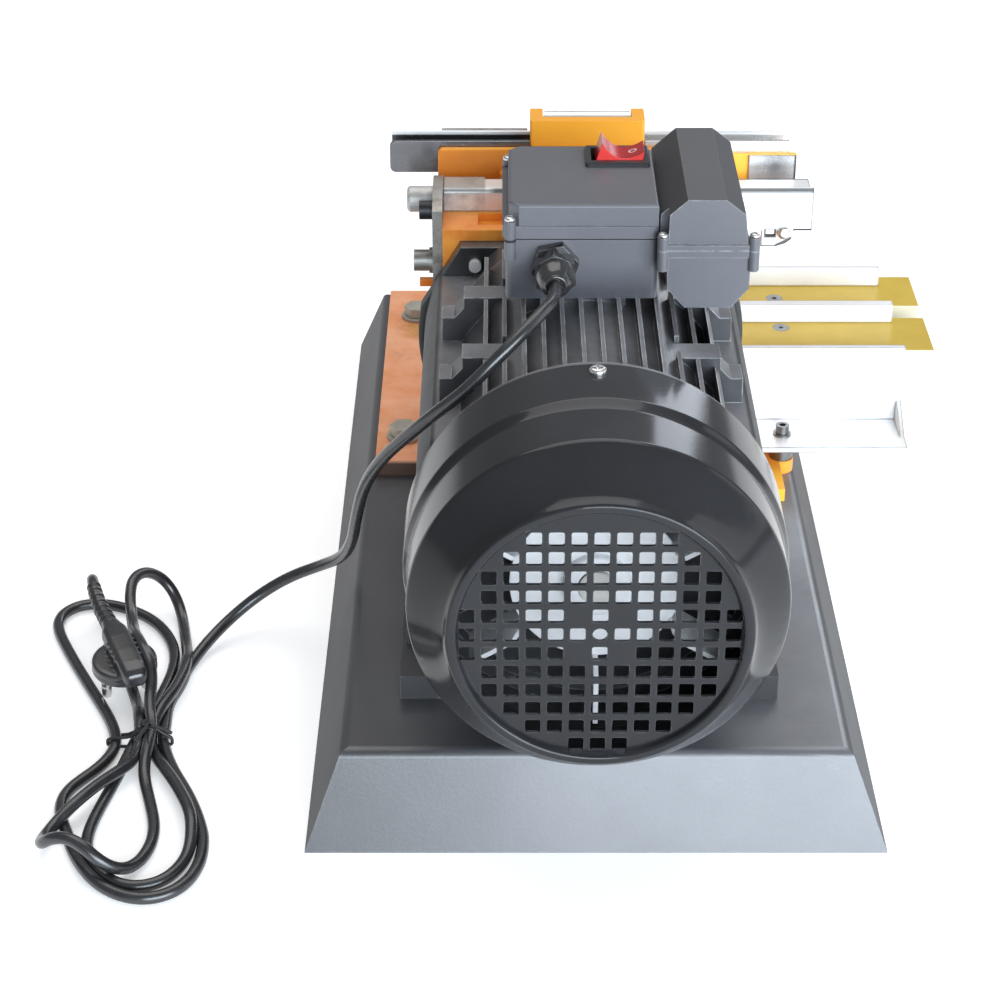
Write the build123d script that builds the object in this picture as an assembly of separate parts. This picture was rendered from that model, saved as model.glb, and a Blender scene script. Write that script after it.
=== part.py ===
from build123d import *
import os
import math

# Bench machine that notches and grooves the wooden bars of bee frames.
# Millimetres. Origin: centre of the base's underside. +X right, +Y towards
# the work head (the motor's fan end is at -Y), +Z up.

# ---------------------------------------------------------------- dimensions
BASE_W, BASE_L, BASE_H = 255.0, 500.0, 43.0   # pressed plinth, outside, at the floor
BASE_IN = 16.5                                # inset of the top on every side
BASE_T = 3.0                                  # sheet thickness
BENCH_X, BENCH_Y = 190.0, 410.0               # bench bolt spacing
BENCH_HOLE_R = 4.5

AX_X, AX_Z = -2.2, 135.0                      # motor and cutter axis: across, height
Y_COWL = -286.0                               # fan end of the cowl
Y_HOUS0, Y_HOUS1 = -198.0, -14.0              # stator housing ends
Y_FACE = -5.0                                 # motor flange face
Y_FINS = -40.0                                # far end of the cooling fins
FLAT_Z = 183.0                                # flat on top of the flange, under the deck
HOUS_R, HOUS_BORE = 66.0, 60.0
FIN_R, FIN_PITCH, FIN_T = 74.0, 8.4, 1.9
FLANK_R = 77.0                                # smooth sides of the housing
FLANGE_R, FLANGE_PCR = 80.0, 65.0
FLAT_R, FLAT_A = 75.3, 31.0                   # trimmed shoulders of the flange: distance from the axis, angle
SHAFT_R = 9.5
BRG_R0, BRG_R1, BRG_W = 10.05, 23.5, 14.0     # 20 x 47 x 14 bearing
OUT_R0, OUT_R1, OUT_W = 8.55, 20.0, 12.0      # 17 x 40 x 12 bearing
COWL_R, COWL_T = 80.3, 1.5
GRILLE_PITCH, GRILLE_HOLE = 8.85, 6.2

BAR_Z = 55.0                                  # top of the bars under the motor feet
RAIL_Z = 50.0                                 # top of the work head's foot rails
DECK_Z = 188.8                                # top of the work head
BEAM_Z = 212.0                                # top of the beam's upright leg
RAIL_TOP = 200.5
CHAN_Z0, CHAN_Z1, CHAN_BACK = 198.2, 214.8, 209.8
TROUGH_Z0, TROUGH_Z1 = 92.0, 102.0
CUT_R1, CUT_R2 = 68.0, 58.0                   # notch cutter, groove cutter
CORD_D = 5.6

os.makedirs("parts", exist_ok=True)
NODES = {}


# ------------------------------------------------------------------- helpers
def bx(x0, x1, y0, y1, z0, z1):
    return Pos((x0 + x1) / 2, (y0 + y1) / 2, (z0 + z1) / 2) * Box(abs(x1 - x0), abs(y1 - y0), abs(z1 - z0))


def cz(r, x, y, z0, z1):
    return Pos(x, y, (z0 + z1) / 2) * Cylinder(r, z1 - z0)


def cy(r, x, z, y0, y1):
    return Pos(x, (y0 + y1) / 2, z) * Rot(90, 0, 0) * Cylinder(r, y1 - y0)


def cx(r, y, z, x0, x1):
    return Pos((x0 + x1) / 2, y, z) * Rot(0, 90, 0) * Cylinder(r, x1 - x0)


def hexz(af, x, y, z0, z1, turn=0.0):
    p = Pos(x, y, z0) * Rot(0, 0, turn) * RegularPolygon(af / 2, 6, major_radius=False)
    return extrude(p, z1 - z0, dir=(0, 0, 1))


def hexy(af, x, z, y0, y1, turn=0.0):
    p = Pos(x, y0, z) * Rot(90, 0, 0) * Rot(0, 0, turn) * RegularPolygon(af / 2, 6, major_radius=False)
    return extrude(p, y1 - y0, dir=(0, 1, 0))


def xz(points, y0, y1):
    # closed polygon in X, Z, run from y0 to y1
    w = Wire.make_polygon([Vector(x, y0, z) for x, z in points], close=True)
    return extrude(Face(w), y1 - y0, dir=(0, 1, 0))


def yz(points, x0, x1):
    w = Wire.make_polygon([Vector(x0, y, z) for y, z in points], close=True)
    return extrude(Face(w), x1 - x0, dir=(1, 0, 0))


def xy(points, z0, z1):
    w = Wire.make_polygon([Vector(x, y, z0) for x, y in points], close=True)
    return extrude(Face(w), z1 - z0, dir=(0, 0, 1))


def lathe_y(points, z=AX_Z, x=0.0):
    # closed profile of (y, r), turned about the axis along Y
    w = Wire.make_polygon([Vector(x + r, y, z) for y, r in points], close=True)
    return revolve(Face(w), Axis((x, 0, z), (0, 1, 0)), 360)


def frustum(z0, z1, grow=0.0):
    # the plinth's outer shape between two heights, moved in by grow
    slope = BASE_IN / BASE_H
    def rect(z):
        i = slope * z + grow
        w, l = BASE_W / 2 - i, BASE_L / 2 - i
        return Face(Wire.make_polygon([Vector(-w, -l, z), Vector(w, -l, z), Vector(w, l, z), Vector(-w, l, z)], close=True))
    return loft([rect(z0), rect(z1)])


# pieces drawn about X = 0 that sit on the motor's axis
ON_AXIS = ("motor_foot_bars", "motor_feet", "motor_foot_bolts", "motor_housing", "stator_core", "stator_windings", "rear_end_shield", "front_flange_shield",
           "motor_bearings", "rotor_shaft", "rotor_core", "cooling_fan", "fan_cowl", "cowl_screws", "flange_screws", "cutter_arbor", "notch_cutter",
           "groove_cutter", "arbor_spacers", "arbor_nut", "outboard_bearing")


def add(name, *solids):
    out = []
    for s in solids:
        if name in ON_AXIS:
            s = Pos(AX_X, 0, 0) * s
        out += list(s.solids())
    NODES[name] = out


def bolt_z(x, y, z, r, length, af, h):
    # hex head standing on z, shank below it
    return hexz(af, x, y, z, z + h) + cz(r, x, y, z - length, z)


def cap_screw_z(x, y, z, r, length, hr, hh):
    s = cz(hr, x, y, z, z + hh) + cz(r, x, y, z - length, z)
    return s - hexz(r * 1.6, x, y, z + hh * 0.45, z + hh + 1)


def pan_screw_z(x, y, z, r, length, hr, hh):
    s = cz(hr, x, y, z, z + hh)
    s = fillet(s.edges().sort_by(Axis.Z)[-1], hh * 0.6)
    s = s + cz(r, x, y, z - length, z)
    s = s - bx(x - hr * 0.6, x + hr * 0.6, y - 0.45, y + 0.45, z + hh * 0.45, z + hh + 1)
    return s - bx(x - 0.45, x + 0.45, y - hr * 0.6, y + hr * 0.6, z + hh * 0.45, z + hh + 1)


def ring_z(r0, r1, x, y, z0, z1):
    return cz(r1, x, y, z0, z1) - cz(r0, x, y, z0 - 1, z1 + 1)


# --------------------------------------------------------------------- base
MOTOR_BOLTS = [(sx * 73.0, y) for sx in (-1, 1) for y in (-153.0, -53.0)]
HEAD_BOLTS = [(-93.0, 39.0), (-90.2, 186.0), (93.0, 60.0), (93.0, 186.0)]

wall = BASE_T / math.cos(math.atan2(BASE_IN, BASE_H))
shell = frustum(0, BASE_H)
top_edges = shell.faces().sort_by(Axis.Z)[-1].edges()
shell = fillet(top_edges, 5.0)
shell = shell - frustum(-1.0, BASE_H - BASE_T, wall)
FOOT_HOLES = [(x + AX_X, y) for x, y in MOTOR_BOLTS] + HEAD_BOLTS
for x, y in FOOT_HOLES:
    shell = shell - cz(4.3, x, y, BASE_H - 8, BASE_H + 2)
add("base_shell", shell)

plate = frustum(0, 3.0, wall)
for sx in (-1, 1):
    for sy in (-1, 1):
        plate = plate - cz(BENCH_HOLE_R, sx * BENCH_X / 2, sy * BENCH_Y / 2, -1, 5)
add("base_bottom_plate", plate)
BENCH = [(sx * BENCH_X / 2, sy * BENCH_Y / 2) for sx in (-1, 1) for sy in (-1, 1)]
weld_nuts = [hexz(13, x, y, 3.0, 9.5) - cz(BENCH_HOLE_R, x, y, 2, 11) for x, y in BENCH]

# ------------------------------------------------------------- motor support
bars = []
for sx in (-1, 1):
    b = bx(sx * 50, sx * 84.5, -194, -30, BASE_H, BAR_Z)
    for x, y in MOTOR_BOLTS:
        b = b - cz(4.3, x, y, BASE_H - 1, BAR_Z + 1)
    bars.append(b)
add("motor_foot_bars", *bars)

PADS_Y = [(-147.0, -133.0), (-86.0, -73.0)]
feet = []
for sx in (-1, 1):
    f = bx(sx * 36, sx * 82.5, -168, -38, BAR_Z, 63.0)
    for y0, y1 in PADS_Y:
        f = f + bx(sx * 36, sx * 56, y0, y1, 63.0, 80.0)
    for x, y in MOTOR_BOLTS:
        f = f - cz(4.3, x, y, BAR_Z - 1, 64)
    feet.append(f)
add("motor_feet", *feet)
add("motor_foot_bolts", *[bolt_z(x, y, 63.0, 4.0, 38.0, 13.0, 5.3) for x, y in MOTOR_BOLTS])
add("base_nuts", *weld_nuts, *[hexz(13, x, y, BASE_H - BASE_T - 6.5, BASE_H - BASE_T) - cz(4.02, x, y, 30, 45) for x, y in FOOT_HOLES])

# ------------------------------------------------------------ motor housing
tube = cy(HOUS_R, 0, AX_Z, Y_HOUS0, Y_FINS) + cy(62.5, 0, AX_Z, Y_FINS, Y_HOUS1)
fins = None
for k in range(-6, 7):
    x = (k + 0.5) * FIN_PITCH
    top = 70.0 if abs(x) < 34 else (58.5 if abs(x) < 42 else 54.6)
    f = bx(x - FIN_T / 2, x + FIN_T / 2, Y_HOUS0 + 4, Y_FINS, AX_Z - 70, AX_Z + top)
    fins = f if fins is None else fins + f
for k in range(-3, 0):
    z = AX_Z + k * 11.0
    fins = fins + bx(-FIN_R, FIN_R, Y_HOUS0 + 4, Y_FINS, z - FIN_T / 2, z + FIN_T / 2)
fins = fins & (cy(FIN_R, 0, AX_Z, Y_HOUS0, Y_HOUS1) & bx(-80, 80, Y_HOUS0, Y_HOUS1, AX_Z - 70, AX_Z + 70))
for y0, y1 in PADS_Y:
    for sx in (-1, 1):
        fins = fins - bx(sx * 31.0, sx * 60.0, y0 - 0.6, y1 + 0.6, AX_Z + 40, AX_Z + 75)
body = tube + fins
# smooth flanks that run up to the flange
flank = cy(FLANK_R, 0, AX_Z, Y_HOUS0 + 4, Y_HOUS1 - 0.3)
body = body + (flank & bx(50, 80, Y_HOUS0 + 4, Y_HOUS1 - 0.3, AX_Z - 33, AX_Z + 33)) + (flank & bx(-80, -50, Y_HOUS0 + 4, Y_HOUS1 - 0.3, AX_Z - 33, AX_Z + 33))
# terminal box seat between the fins
body = body + bx(-30, 16, -112, -63, 190, AX_Z + 70)
for sx in (-1, 1):
    for sz in (-1, 1):
        for y0, y1 in PADS_Y:
            if sz < 0:
                body = body - bx(sx * 35.9, sx * 56.5, y0 - 0.2, y1 + 0.2, 60.0, AX_Z - 55.0)
            inner = 31.0 if sz > 0 else 36.0
            body = body + xz([(sx * inner, AX_Z + sz * 26), (sx * inner, AX_Z + sz * 55), (sx * 56.4, AX_Z + sz * 55), (sx * 56.4, AX_Z + sz * 49.7),
                              (sx * 61.0, AX_Z + sz * 44.9), (sx * 66.5, AX_Z + sz * 44.9), (sx * 66.5, AX_Z + sz * 26)], y0, y1)
body = body + cy(70.0, 0, AX_Z, Y_HOUS0, Y_HOUS0 + 6)
body = body - cy(HOUS_BORE, 0, AX_Z, Y_HOUS0 - 1, Y_HOUS1 + 1)
body = body - cz(7.0, -7 - AX_X, -87, 185, 210)
FL_SCREWS = [(sx * 51.9, AX_Z + sz * 39.1) for sx in (-1, 1) for sz in (-1, 1)]
for x, z in FL_SCREWS:
    body = body - cy(5.5, x, z, -26, -13)
add("motor_housing", body)

ring = cy(HOUS_BORE - 0.02, 0, AX_Z, -158, -62) - cy(36.0, 0, AX_Z, -160, -60)
add("stator_core", ring)
wind = []
for y0, y1 in ((-182.0, -158.0), (-62.0, -40.0)):
    wind.append(lathe_y([(y0, 43), (y0 + 4, 39), (y1 - 4 if y1 < -100 else y1, 39), (y1, 41), (y1, 54), (y0 + 4, 55), (y0, 51)]))
add("stator_windings", *wind)

# rear end shield carries the cowl and the fan-side bearing
rear = lathe_y([(-216, 72), (-216, 78.75), (-198, 78.75), (-198, 58), (-206, 56), (-206, 30), (-198, 29), (-198, BRG_R1),
                (-216, BRG_R1), (-216, 11.5), (-220, 11.5), (-220, 30), (-212, 34), (-212, 70)])
COWL_SCREW = [(90, -210.5), (210, -210.5), (330, -210.5)]
for a, y in COWL_SCREW:
    hole = Pos(0, y, AX_Z) * Rot(0, 90 - a, 0) * Pos(0, 0, 72) * Cylinder(2.05, 20)
    rear = rear - hole
add("rear_end_shield", rear)

front = lathe_y([(-14, FLANGE_R - 2.0), (-12.6, FLANGE_R), (Y_FACE, FLANGE_R), (Y_FACE, 46.0), (-9, 46.0), (-9, 12.0), (-14, 12.0), (-14, BRG_R1), (-28, BRG_R1), (-28, 30.0),
                 (-19, 33.0), (-19, 59.9), (-14, 59.9)])
front = front - bx(-90, 90, -14.0, -4.0, FLAT_Z, 220.0)
for sx in (-1, 1):
    front = front - Pos(0, -9.5, AX_Z) * Rot(0, -sx * FLAT_A, 0) * Pos(sx * (FLAT_R + 10), 0, 0) * Box(20.0, 11.0, 70.0)
for x, z in FL_SCREWS:
    front = front - cy(3.02, x, z, -16, 0)
add("front_flange_shield", front)

brgs = []
for y0 in (-216.0, -28.0):
    y1 = y0 + BRG_W
    b = lathe_y([(y0, BRG_R0), (y1, BRG_R0), (y1, 13.0), (y1 - 0.8, 13.4), (y1 - 0.8, 20.2), (y1, 20.6), (y1, BRG_R1 - 0.02),
                 (y0, BRG_R1 - 0.02), (y0, 20.6), (y0 + 0.8, 20.2), (y0 + 0.8, 13.4), (y0, 13.0)])
    brgs.append(b)
add("motor_bearings", *brgs)

# ------------------------------------------------------------ rotating parts
shaft = lathe_y([(-247.6, 0), (-247.6, 7.5), (-247.1, 8.0), (-224, 8.0), (-224, 10.0), (-201, 10.0), (-201, 13.0), (-29, 13.0), (-29, 10.0),
                 (-8, 10.0), (-8, SHAFT_R), (32.5, SHAFT_R), (33, 9.0), (33, 0)])
add("rotor_shaft", shaft)
core = lathe_y([(-170, 20), (-170, 30), (-158, 33), (-158, 35.6), (-62, 35.6), (-62, 33), (-50, 30), (-50, 20), (-62, 18), (-62, 13.0), (-158, 13.0), (-158, 18)])
add("rotor_core", core)

fan = lathe_y([(-247.0, 8.0), (-247.0, 13.0), (-246.0, 14.0), (-243.0, 14.0), (-243.0, 36.0), (-240.5, 36.0), (-240.5, 14.0), (-230, 14.0), (-230, 8.0)])
FAN_BLADE = [(13.0, -241.0), (35.0, -241.0), (36.5, -252.0), (40.0, -257.5), (60.5, -258.0), (60.5, -236.0), (40.0, -233.0), (13.0, -232.0)]
for k in range(6):
    w = Wire.make_polygon([Vector(-1.1, y, r) for r, y in FAN_BLADE], close=True)
    blade = extrude(Face(w), 2.2, dir=(1, 0, 0))
    fan = fan + Pos(0, 0, AX_Z) * Rot(0, 60.0 * k, 0) * blade
fan = fan - cy(8.0, 0, AX_Z, -270, -225)
add("cooling_fan", fan)

# -------------------------------------------------------------------- cowl
T = COWL_T
outer = [(-203.0, COWL_R), (-231.8, COWL_R), (-233.0, 79.9), (-235.0, 79.0), (-237.0, 78.3), (-238.5, 78.1), (-262.0, 78.1), (-263.4, 77.8), (-264.5, 77.2),
         (-266.5, 75.4), (-273.0, 69.5), (-278.0, 65.3), (-281.0, 63.2), (-283.0, 62.2), (-284.6, 61.8), (-285.6, 61.1), (-286.0, 60.0), (-286.0, 59.0),
         (-285.6, 57.9), (-284.6, 57.1), (-283.2, 56.8), (-282.6, 56.2), (-282.6, 0.0)]
inner = [(-203.0, COWL_R - T), (-231.4, COWL_R - T), (-236.4, 76.9), (-238.3, 76.6), (-262.0, 76.6), (-263.4, 76.1), (-265.4, 74.3), (-272.0, 68.3), (-277.0, 64.1),
         (-280.0, 62.1), (-281.1, 61.5), (-281.1, 0.0)]
cowl = lathe_y(outer + inner[::-1])
# Square hole grid: number of holes left of centre in each row, from the middle row outwards
ROWS = {0: 6, 1: 6, 2: 5, 3: 5, 4: 4, 5: 3, 6: 1}
cuts = []
hole = fillet(Box(GRILLE_HOLE, 8.0, GRILLE_HOLE).edges().filter_by(Axis.Y), 0.9)
for r in range(-6, 6):
    for k in range(-ROWS[abs(r)], ROWS[abs(r)] + 1):
        if r == 0 and k == 0:
            continue
        if abs(r) == 1 and abs(k) == 1:
            continue
        x, z = k * GRILLE_PITCH, AX_Z + r * GRILLE_PITCH
        cuts.append(Pos(x, -282.0, z) * hole)
cuts.append(cy(3.0, 0, AX_Z, -286, -278))
for a, y in COWL_SCREW:
    cuts.append(Pos(0, y, AX_Z) * Rot(0, 90 - a, 0) * Pos(0, 0, COWL_R) * Cylinder(2.3, 12))
cowl = cowl - cuts
add("fan_cowl", cowl)

scr = []
for a, y in COWL_SCREW:
    s = pan_screw_z(0, 0, COWL_R, 2.0, 9.0, 3.6, 2.4)
    scr.append(Pos(0, y, AX_Z) * Rot(0, 90 - a, 0) * s)
add("cowl_screws", *scr)

# ------------------------------------------------------------- terminal box
TX0, TX1, TY0, TY1, LID_T = -41.0, 27.3, -119.7, -48.4, 249.6
GX, GY, GZ = -18.0, -118.0, 222.0
LID_SCREWS = [(-37.6, TY0 + 0.5), (-38.2, TY1 - 0.5), (24.0, TY1 + 0.6)]
tb = bx(TX0 + 1.5, TX1, TY0 + 1.5, TY1, 205.0, 233.0)
tb = fillet(tb.edges().filter_by(Axis.Z), 3.0)
tb = tb - bx(TX0 + 4.5, TX1 - 2.0, TY0 + 4.5, TY1 - 3.0, 208.0, 240.0)
for x, y in LID_SCREWS:
    tb = tb + cz(2.6, x, y, 224.5, 233.0)
for x, y in LID_SCREWS:
    tb = tb - cz(1.45, x, y, 226.0, 240)
tb = tb - cz(7.0, -7, -87, 200, 210) - cy(6.05, GX, GZ, TY0 - 2, TY0 + 8)
add("terminal_box", tb)

gsk = bx(TX0 + 1.8, TX1 - 0.3, TY0 + 1.8, TY1 - 0.3, 233.0, 234.2) - bx(TX0 + 4.3, TX1 - 2.1, TY0 + 4.3, TY1 - 3.1, 232, 235)
for x, y in LID_SCREWS:
    gsk = gsk + cz(2.5, x, y, 233.0, 234.2)
for x, y in LID_SCREWS:
    gsk = gsk - cz(1.7, x, y, 232, 236)
add("terminal_gasket", gsk)

lid = fillet(bx(TX0, TX1, TY0, TY1, 234.2, 240.0).edges().filter_by(Axis.Z), 3.0)
dome = bx(-38.2, 27.0, TY0 + 0.8, TY1 - 1.2, 240.0, LID_T)
corner = dome.edges().filter_by(Axis.Z).sort_by(lambda e: e.center().X + e.center().Y)
dome = chamfer([corner[0], corner[2], corner[3]], 4.5)
dome = fillet(dome.faces().sort_by(Axis.Z)[-1].edges(), 1.2)
lid = lid + dome
for x, y in LID_SCREWS:
    lid = lid + cz(2.6, x, y, 234.2, 242.6)
cav = bx(TX0 + 4.6, TX1 - 2.1, TY0 + 4.5, TY1 - 4.0, 233, LID_T - 2.6)
corner = cav.edges().filter_by(Axis.Z).sort_by(lambda e: e.center().X + e.center().Y)
cav = chamfer([corner[0], corner[2], corner[3]], 3.4)
lid = lid - cav
SWX, SWY = 10.8, -64.8
lid = lid - bx(SWX - 12.7, SWX + 12.7, SWY - 8.5, SWY + 8.5, LID_T - 4, LID_T + 2)
for x, y in LID_SCREWS:
    lid = lid - cz(1.6, x, y, 230, 245)
add("terminal_lid", lid)

tboard = bx(-31, 5, -104, -72, 208.0, 214.0)
for i in range(3):
    for y in (-97.0, -79.0):
        x = -25.0 + 12.0 * i
        tboard = tboard + cz(2.0, x, y, 214.0, 222.0) + hexz(7.0, x, y, 214.0, 217.0)
tboard = tboard - cz(7.4, -7, -87, 205, 220)
add("terminal_board", tboard)

# rocker switch in the lid
sw = bx(SWX - 14.5, SWX + 14.5, SWY - 11.0, SWY + 11.0, LID_T, LID_T + 2.0)
sw = fillet(sw.edges().filter_by(Axis.Z), 1.5)
sw = chamfer(sw.faces().sort_by(Axis.Z)[-1].edges(), 0.6)
sw = sw + bx(SWX - 12.5, SWX + 12.5, SWY - 8.3, SWY + 8.3, LID_T - 26.0, LID_T)
sw = sw - bx(SWX - 11.8, SWX + 11.8, SWY - 7.5, SWY + 7.5, LID_T - 12.0, LID_T + 4.0)
sw = sw + (bx(SWX - 9, SWX - 7, SWY - 3, SWY + 3, LID_T - 33, LID_T - 26) + bx(SWX + 1, SWX + 3, SWY - 3, SWY + 3, LID_T - 33, LID_T - 26))
PIV_Z = LID_T - 3.5
sw = sw - cy(1.56, SWX, PIV_Z, SWY - 8.0, SWY + 8.0)
add("switch_body", sw)

rk_prof = [(-9.8, 11.8), (-7.6, 9.6), (-5.0, 7.9), (-2.5, 6.9), (0.0, 6.5), (2.5, 6.9), (5.0, 7.9), (7.6, 9.6), (9.8, 11.8), (10.6, 2.0), (8.5, -4.0), (-8.5, -4.0), (-10.6, 2.0)]
rk = xz(rk_prof, -7.2, 7.2) + cy(1.5, 0, 0, -7.9, 7.9)
rk = Pos(SWX, SWY, PIV_Z) * Rot(0, 12.0, 0) * rk
add("switch_rocker", rk)

# cable gland on the front of the terminal box
gb = cy(6.0, GX, GZ, TY0 + 1.5, TY0 + 8.0) + hexy(19.0, GX, GZ, GY - 5.5, TY0 + 1.5, 12.0)
gb = gb - cy(CORD_D / 2 + 0.1, GX, GZ, GY - 10, GY + 10)
add("gland_body", gb)
gn = hexy(17.5, GX, GZ, GY - 14.0, GY - 5.5, 35.0)
gn = gn + lathe_y([(GY - 24.0, 0), (GY - 24.0, 4.4), (GY - 22.0, 6.6), (GY - 17.0, 8.2), (GY - 14.0, 8.6), (GY - 14.0, 0)], GZ, GX)
gn = gn - cy(CORD_D / 2 + 0.1, GX, GZ, GY - 30, GY)
add("gland_nut", gn)
Y_EXIT = GY - 24.0

# ----------------------------------------------------------- capacitor case
CY0, CY1 = -124.7, -38.7
low = xz([(30.5, 231.0), (31.1, 212.7), (38.9, 203.5), (59.6, 203.5), (67.0, 212.7), (67.5, 231.0)], CY0, CY1)
CAP_SCREWS = [(28.7, CY0 + 0.4), (68.4, CY0 + 0.4)]
low = low + bx(28.6, 68.6, CY0 - 0.8, CY0 + 5.5, 227.6, 231.0)
for x, y in CAP_SCREWS:
    low = low + cz(2.5, x, y, 221.5, 231.0)
low = low - xz([(33.0, 232.0), (33.4, 213.6), (40.0, 206.0), (58.5, 206.0), (64.6, 213.6), (65.0, 232.0)], CY0 + 2.5, CY1 - 2.5)
low = low + bx(TX1, 33.0, -98, -74, 210.0, 224.0) - cx(5.0, -86, 217, TX1 - 1, 36)
for x, y in CAP_SCREWS:
    low = low - cz(1.45, x, y, 223.0, 235.0)
add("capacitor_case", low)

upp = xz([(30.9, 231.0), (31.4, 247.3), (38.9, 254.2), (55.7, 254.2), (64.3, 247.3), (66.0, 231.0)], CY0 + 0.4, CY1 - 0.4)
upp = upp + xz([(27.9, 231.0), (27.9, 244.1), (38.9, 254.2), (45.0, 254.2), (45.0, 231.0)], CY0 + 8.5, CY1 - 0.4)
upp = upp + bx(28.6, 68.6, CY0 - 0.8, CY0 + 5.5, 231.0, 233.6)
for x, y in CAP_SCREWS:
    upp = upp + cz(2.5, x, y, 231.0, 237.2)
upp = upp - xz([(34.0, 230.0), (35.2, 246.4), (41.9, 251.8), (55.7, 251.8), (61.8, 246.4), (63.4, 230.0)], CY0 + 2.8, CY1 - 2.8)
for x, y in CAP_SCREWS:
    upp = upp - cz(1.6, x, y, 229.0, 240.0)
add("capacitor_lid", upp)
cs = [pan_screw_z(x, y, 237.2, 1.4, 13.0, 2.2, 1.8) for x, y in CAP_SCREWS]
add("cover_screws", *cs, *[pan_screw_z(x, y, 242.6, 1.4, 15.5, 2.4, 1.9) for x, y in LID_SCREWS])
cap = cy(14.5, 49.0, 221.0, -114.0, -54.0)
cap = fillet(cap.edges().sort_by(Axis.Y)[0], 2.0)
cap = cap + bx(44.5, 46.0, -54, -47, 218, 224) + bx(52.0, 53.5, -54, -47, 218, 224)
add("run_capacitor", cap)

# ---------------------------------------------------------------- work head
BRK_X = 104.7                                 # screw of the support bracket
STOP_Y, STOP_Z = 24.0, 192.3
head = bx(-107, -80, 10, 221.5, BASE_H, RAIL_Z) + bx(80, 103.5, -17, 221.5, BASE_H, RAIL_Z)
head = head + cz(6.5, BRK_X, 18.0, BASE_H, RAIL_Z)
head = head + bx(-84, 84, -5 + 0.0, 154, BASE_H, RAIL_Z)
head = head + bx(-70, 70, Y_FACE, 15, RAIL_Z, FLAT_Z + 0.2)                  # motor flange wall
head = head + bx(-70, 70, Y_FACE - 1.5, 42, FLAT_Z + 0.2, DECK_Z) + bx(-70, 70, 15, 42, 177.5, FLAT_Z + 0.2)                  # deck
head = head + bx(-70, -64.5, 15, 42, 138, 177.5)                      # left cheek under the deck
head = head + bx(64.5, 70, 15, 30, 150, 177.5)
head = head + bx(-52, 52, 136, 152, RAIL_Z, 172)                      # outboard bearing wall
head = head + bx(-84, -70, Y_FACE, 15, RAIL_Z, 66) + bx(70, 84, Y_FACE, 15, RAIL_Z, 58)
head = head + bx(-82.3, -70, 19, 22, 147, 150.8)                     # small lug
for sx in (-1, 1):
    head = head + yz([(15, RAIL_Z), (45, RAIL_Z), (15, 95)], sx * 66 - 3, sx * 66 + 3)
    head = head + yz([(152, RAIL_Z), (176, RAIL_Z), (152, 110)], sx * 40 - 4, sx * 40 + 4)
head = head + bx(-107, 103.5, 152, 180, BASE_H, RAIL_Z)
head = head - cy(46.0, AX_X, AX_Z, Y_FACE - 1, -1) - cy(22.0, AX_X, AX_Z, -8, 20)
head = head - cy(OUT_R1, AX_X, AX_Z, 138, 154) - cy(12.0, AX_X, AX_Z, 130, 140)
for x, z in FL_SCREWS:
    head = head - cy(3.1, x + AX_X, z, -8, 20) - cy(5.6, x + AX_X, z, 7.0, 20)
for x, y in HEAD_BOLTS:
    head = head - cz(4.3, x, y, BASE_H - 1, RAIL_Z + 1)
head = head - bx(-52.8, -40.5, 0, 14, 185, 190)                        # pocket in the deck
head = head - (cx(3.3, 10.0, 165.5, -75, -55)) - cz(2.05, BRK_X, 18.0, BASE_H - 1, RAIL_Z + 1)
head = head - cx(6.5, STOP_Y, STOP_Z, -72, -21)                       # trough under the stop rod
add("work_head", head)
add("work_head_bolts", *[bolt_z(x, y, RAIL_Z + 1.8, 4.0, 25.0, 13.0, 5.5) for x, y in HEAD_BOLTS],
    *[ring_z(4.2, 9.0, x, y, RAIL_Z, RAIL_Z + 1.8) for x, y in HEAD_BOLTS])
fs = []
for x, z in FL_SCREWS:
    s = cy(3.0, x, z, -17.5, 7.0) + cy(5.0, x, z, 7.0, 13.0)
    fs.append(s - hexy(5.0, x, z, 10.0, 14))
add("flange_screws", *fs)

# side plate with its screws
LOCK_Z = 193.2
sp = yz([(-3.0, 158.8), (31.0, 158.8), (31.0, 202.0), (8.0, 202.0), (-3.0, 197.0)], -75.0, -70.0)
sp = sp - cx(3.1, 10.0, 165.5, -80, -60) - cx(2.6, 8.0, LOCK_Z, -80, -60) - cx(6.6, STOP_Y, STOP_Z, -80, -60)
add("side_plate", sp)
low_s = cx(5.3, 10.0, 165.5, -84.6, -77.0) + cx(3.0, 10.0, 165.5, -77.0, -58.0)
low_s = low_s - Pos(-84.6, 10.0, 165.5) * Rot(0, 90, 0) * extrude(RegularPolygon(2.5, 6, major_radius=False), 3.6)
wsh = cx(6.4, 10.0, 165.5, -77.0, -75.0) - cx(3.1, 10.0, 165.5, -78, -74)
add("side_plate_screw", low_s, wsh)
up_s = cx(4.6, 8.0, LOCK_Z, -81.5, -75.0) + cx(2.5, 8.0, LOCK_Z, -75.0, -70.2)
up_s = up_s - Pos(-81.5, 8.0, LOCK_Z) * Rot(0, 90, 0) * extrude(RegularPolygon(2.0, 6, major_radius=False), 3)
add("stop_lock_screw", up_s)

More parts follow.
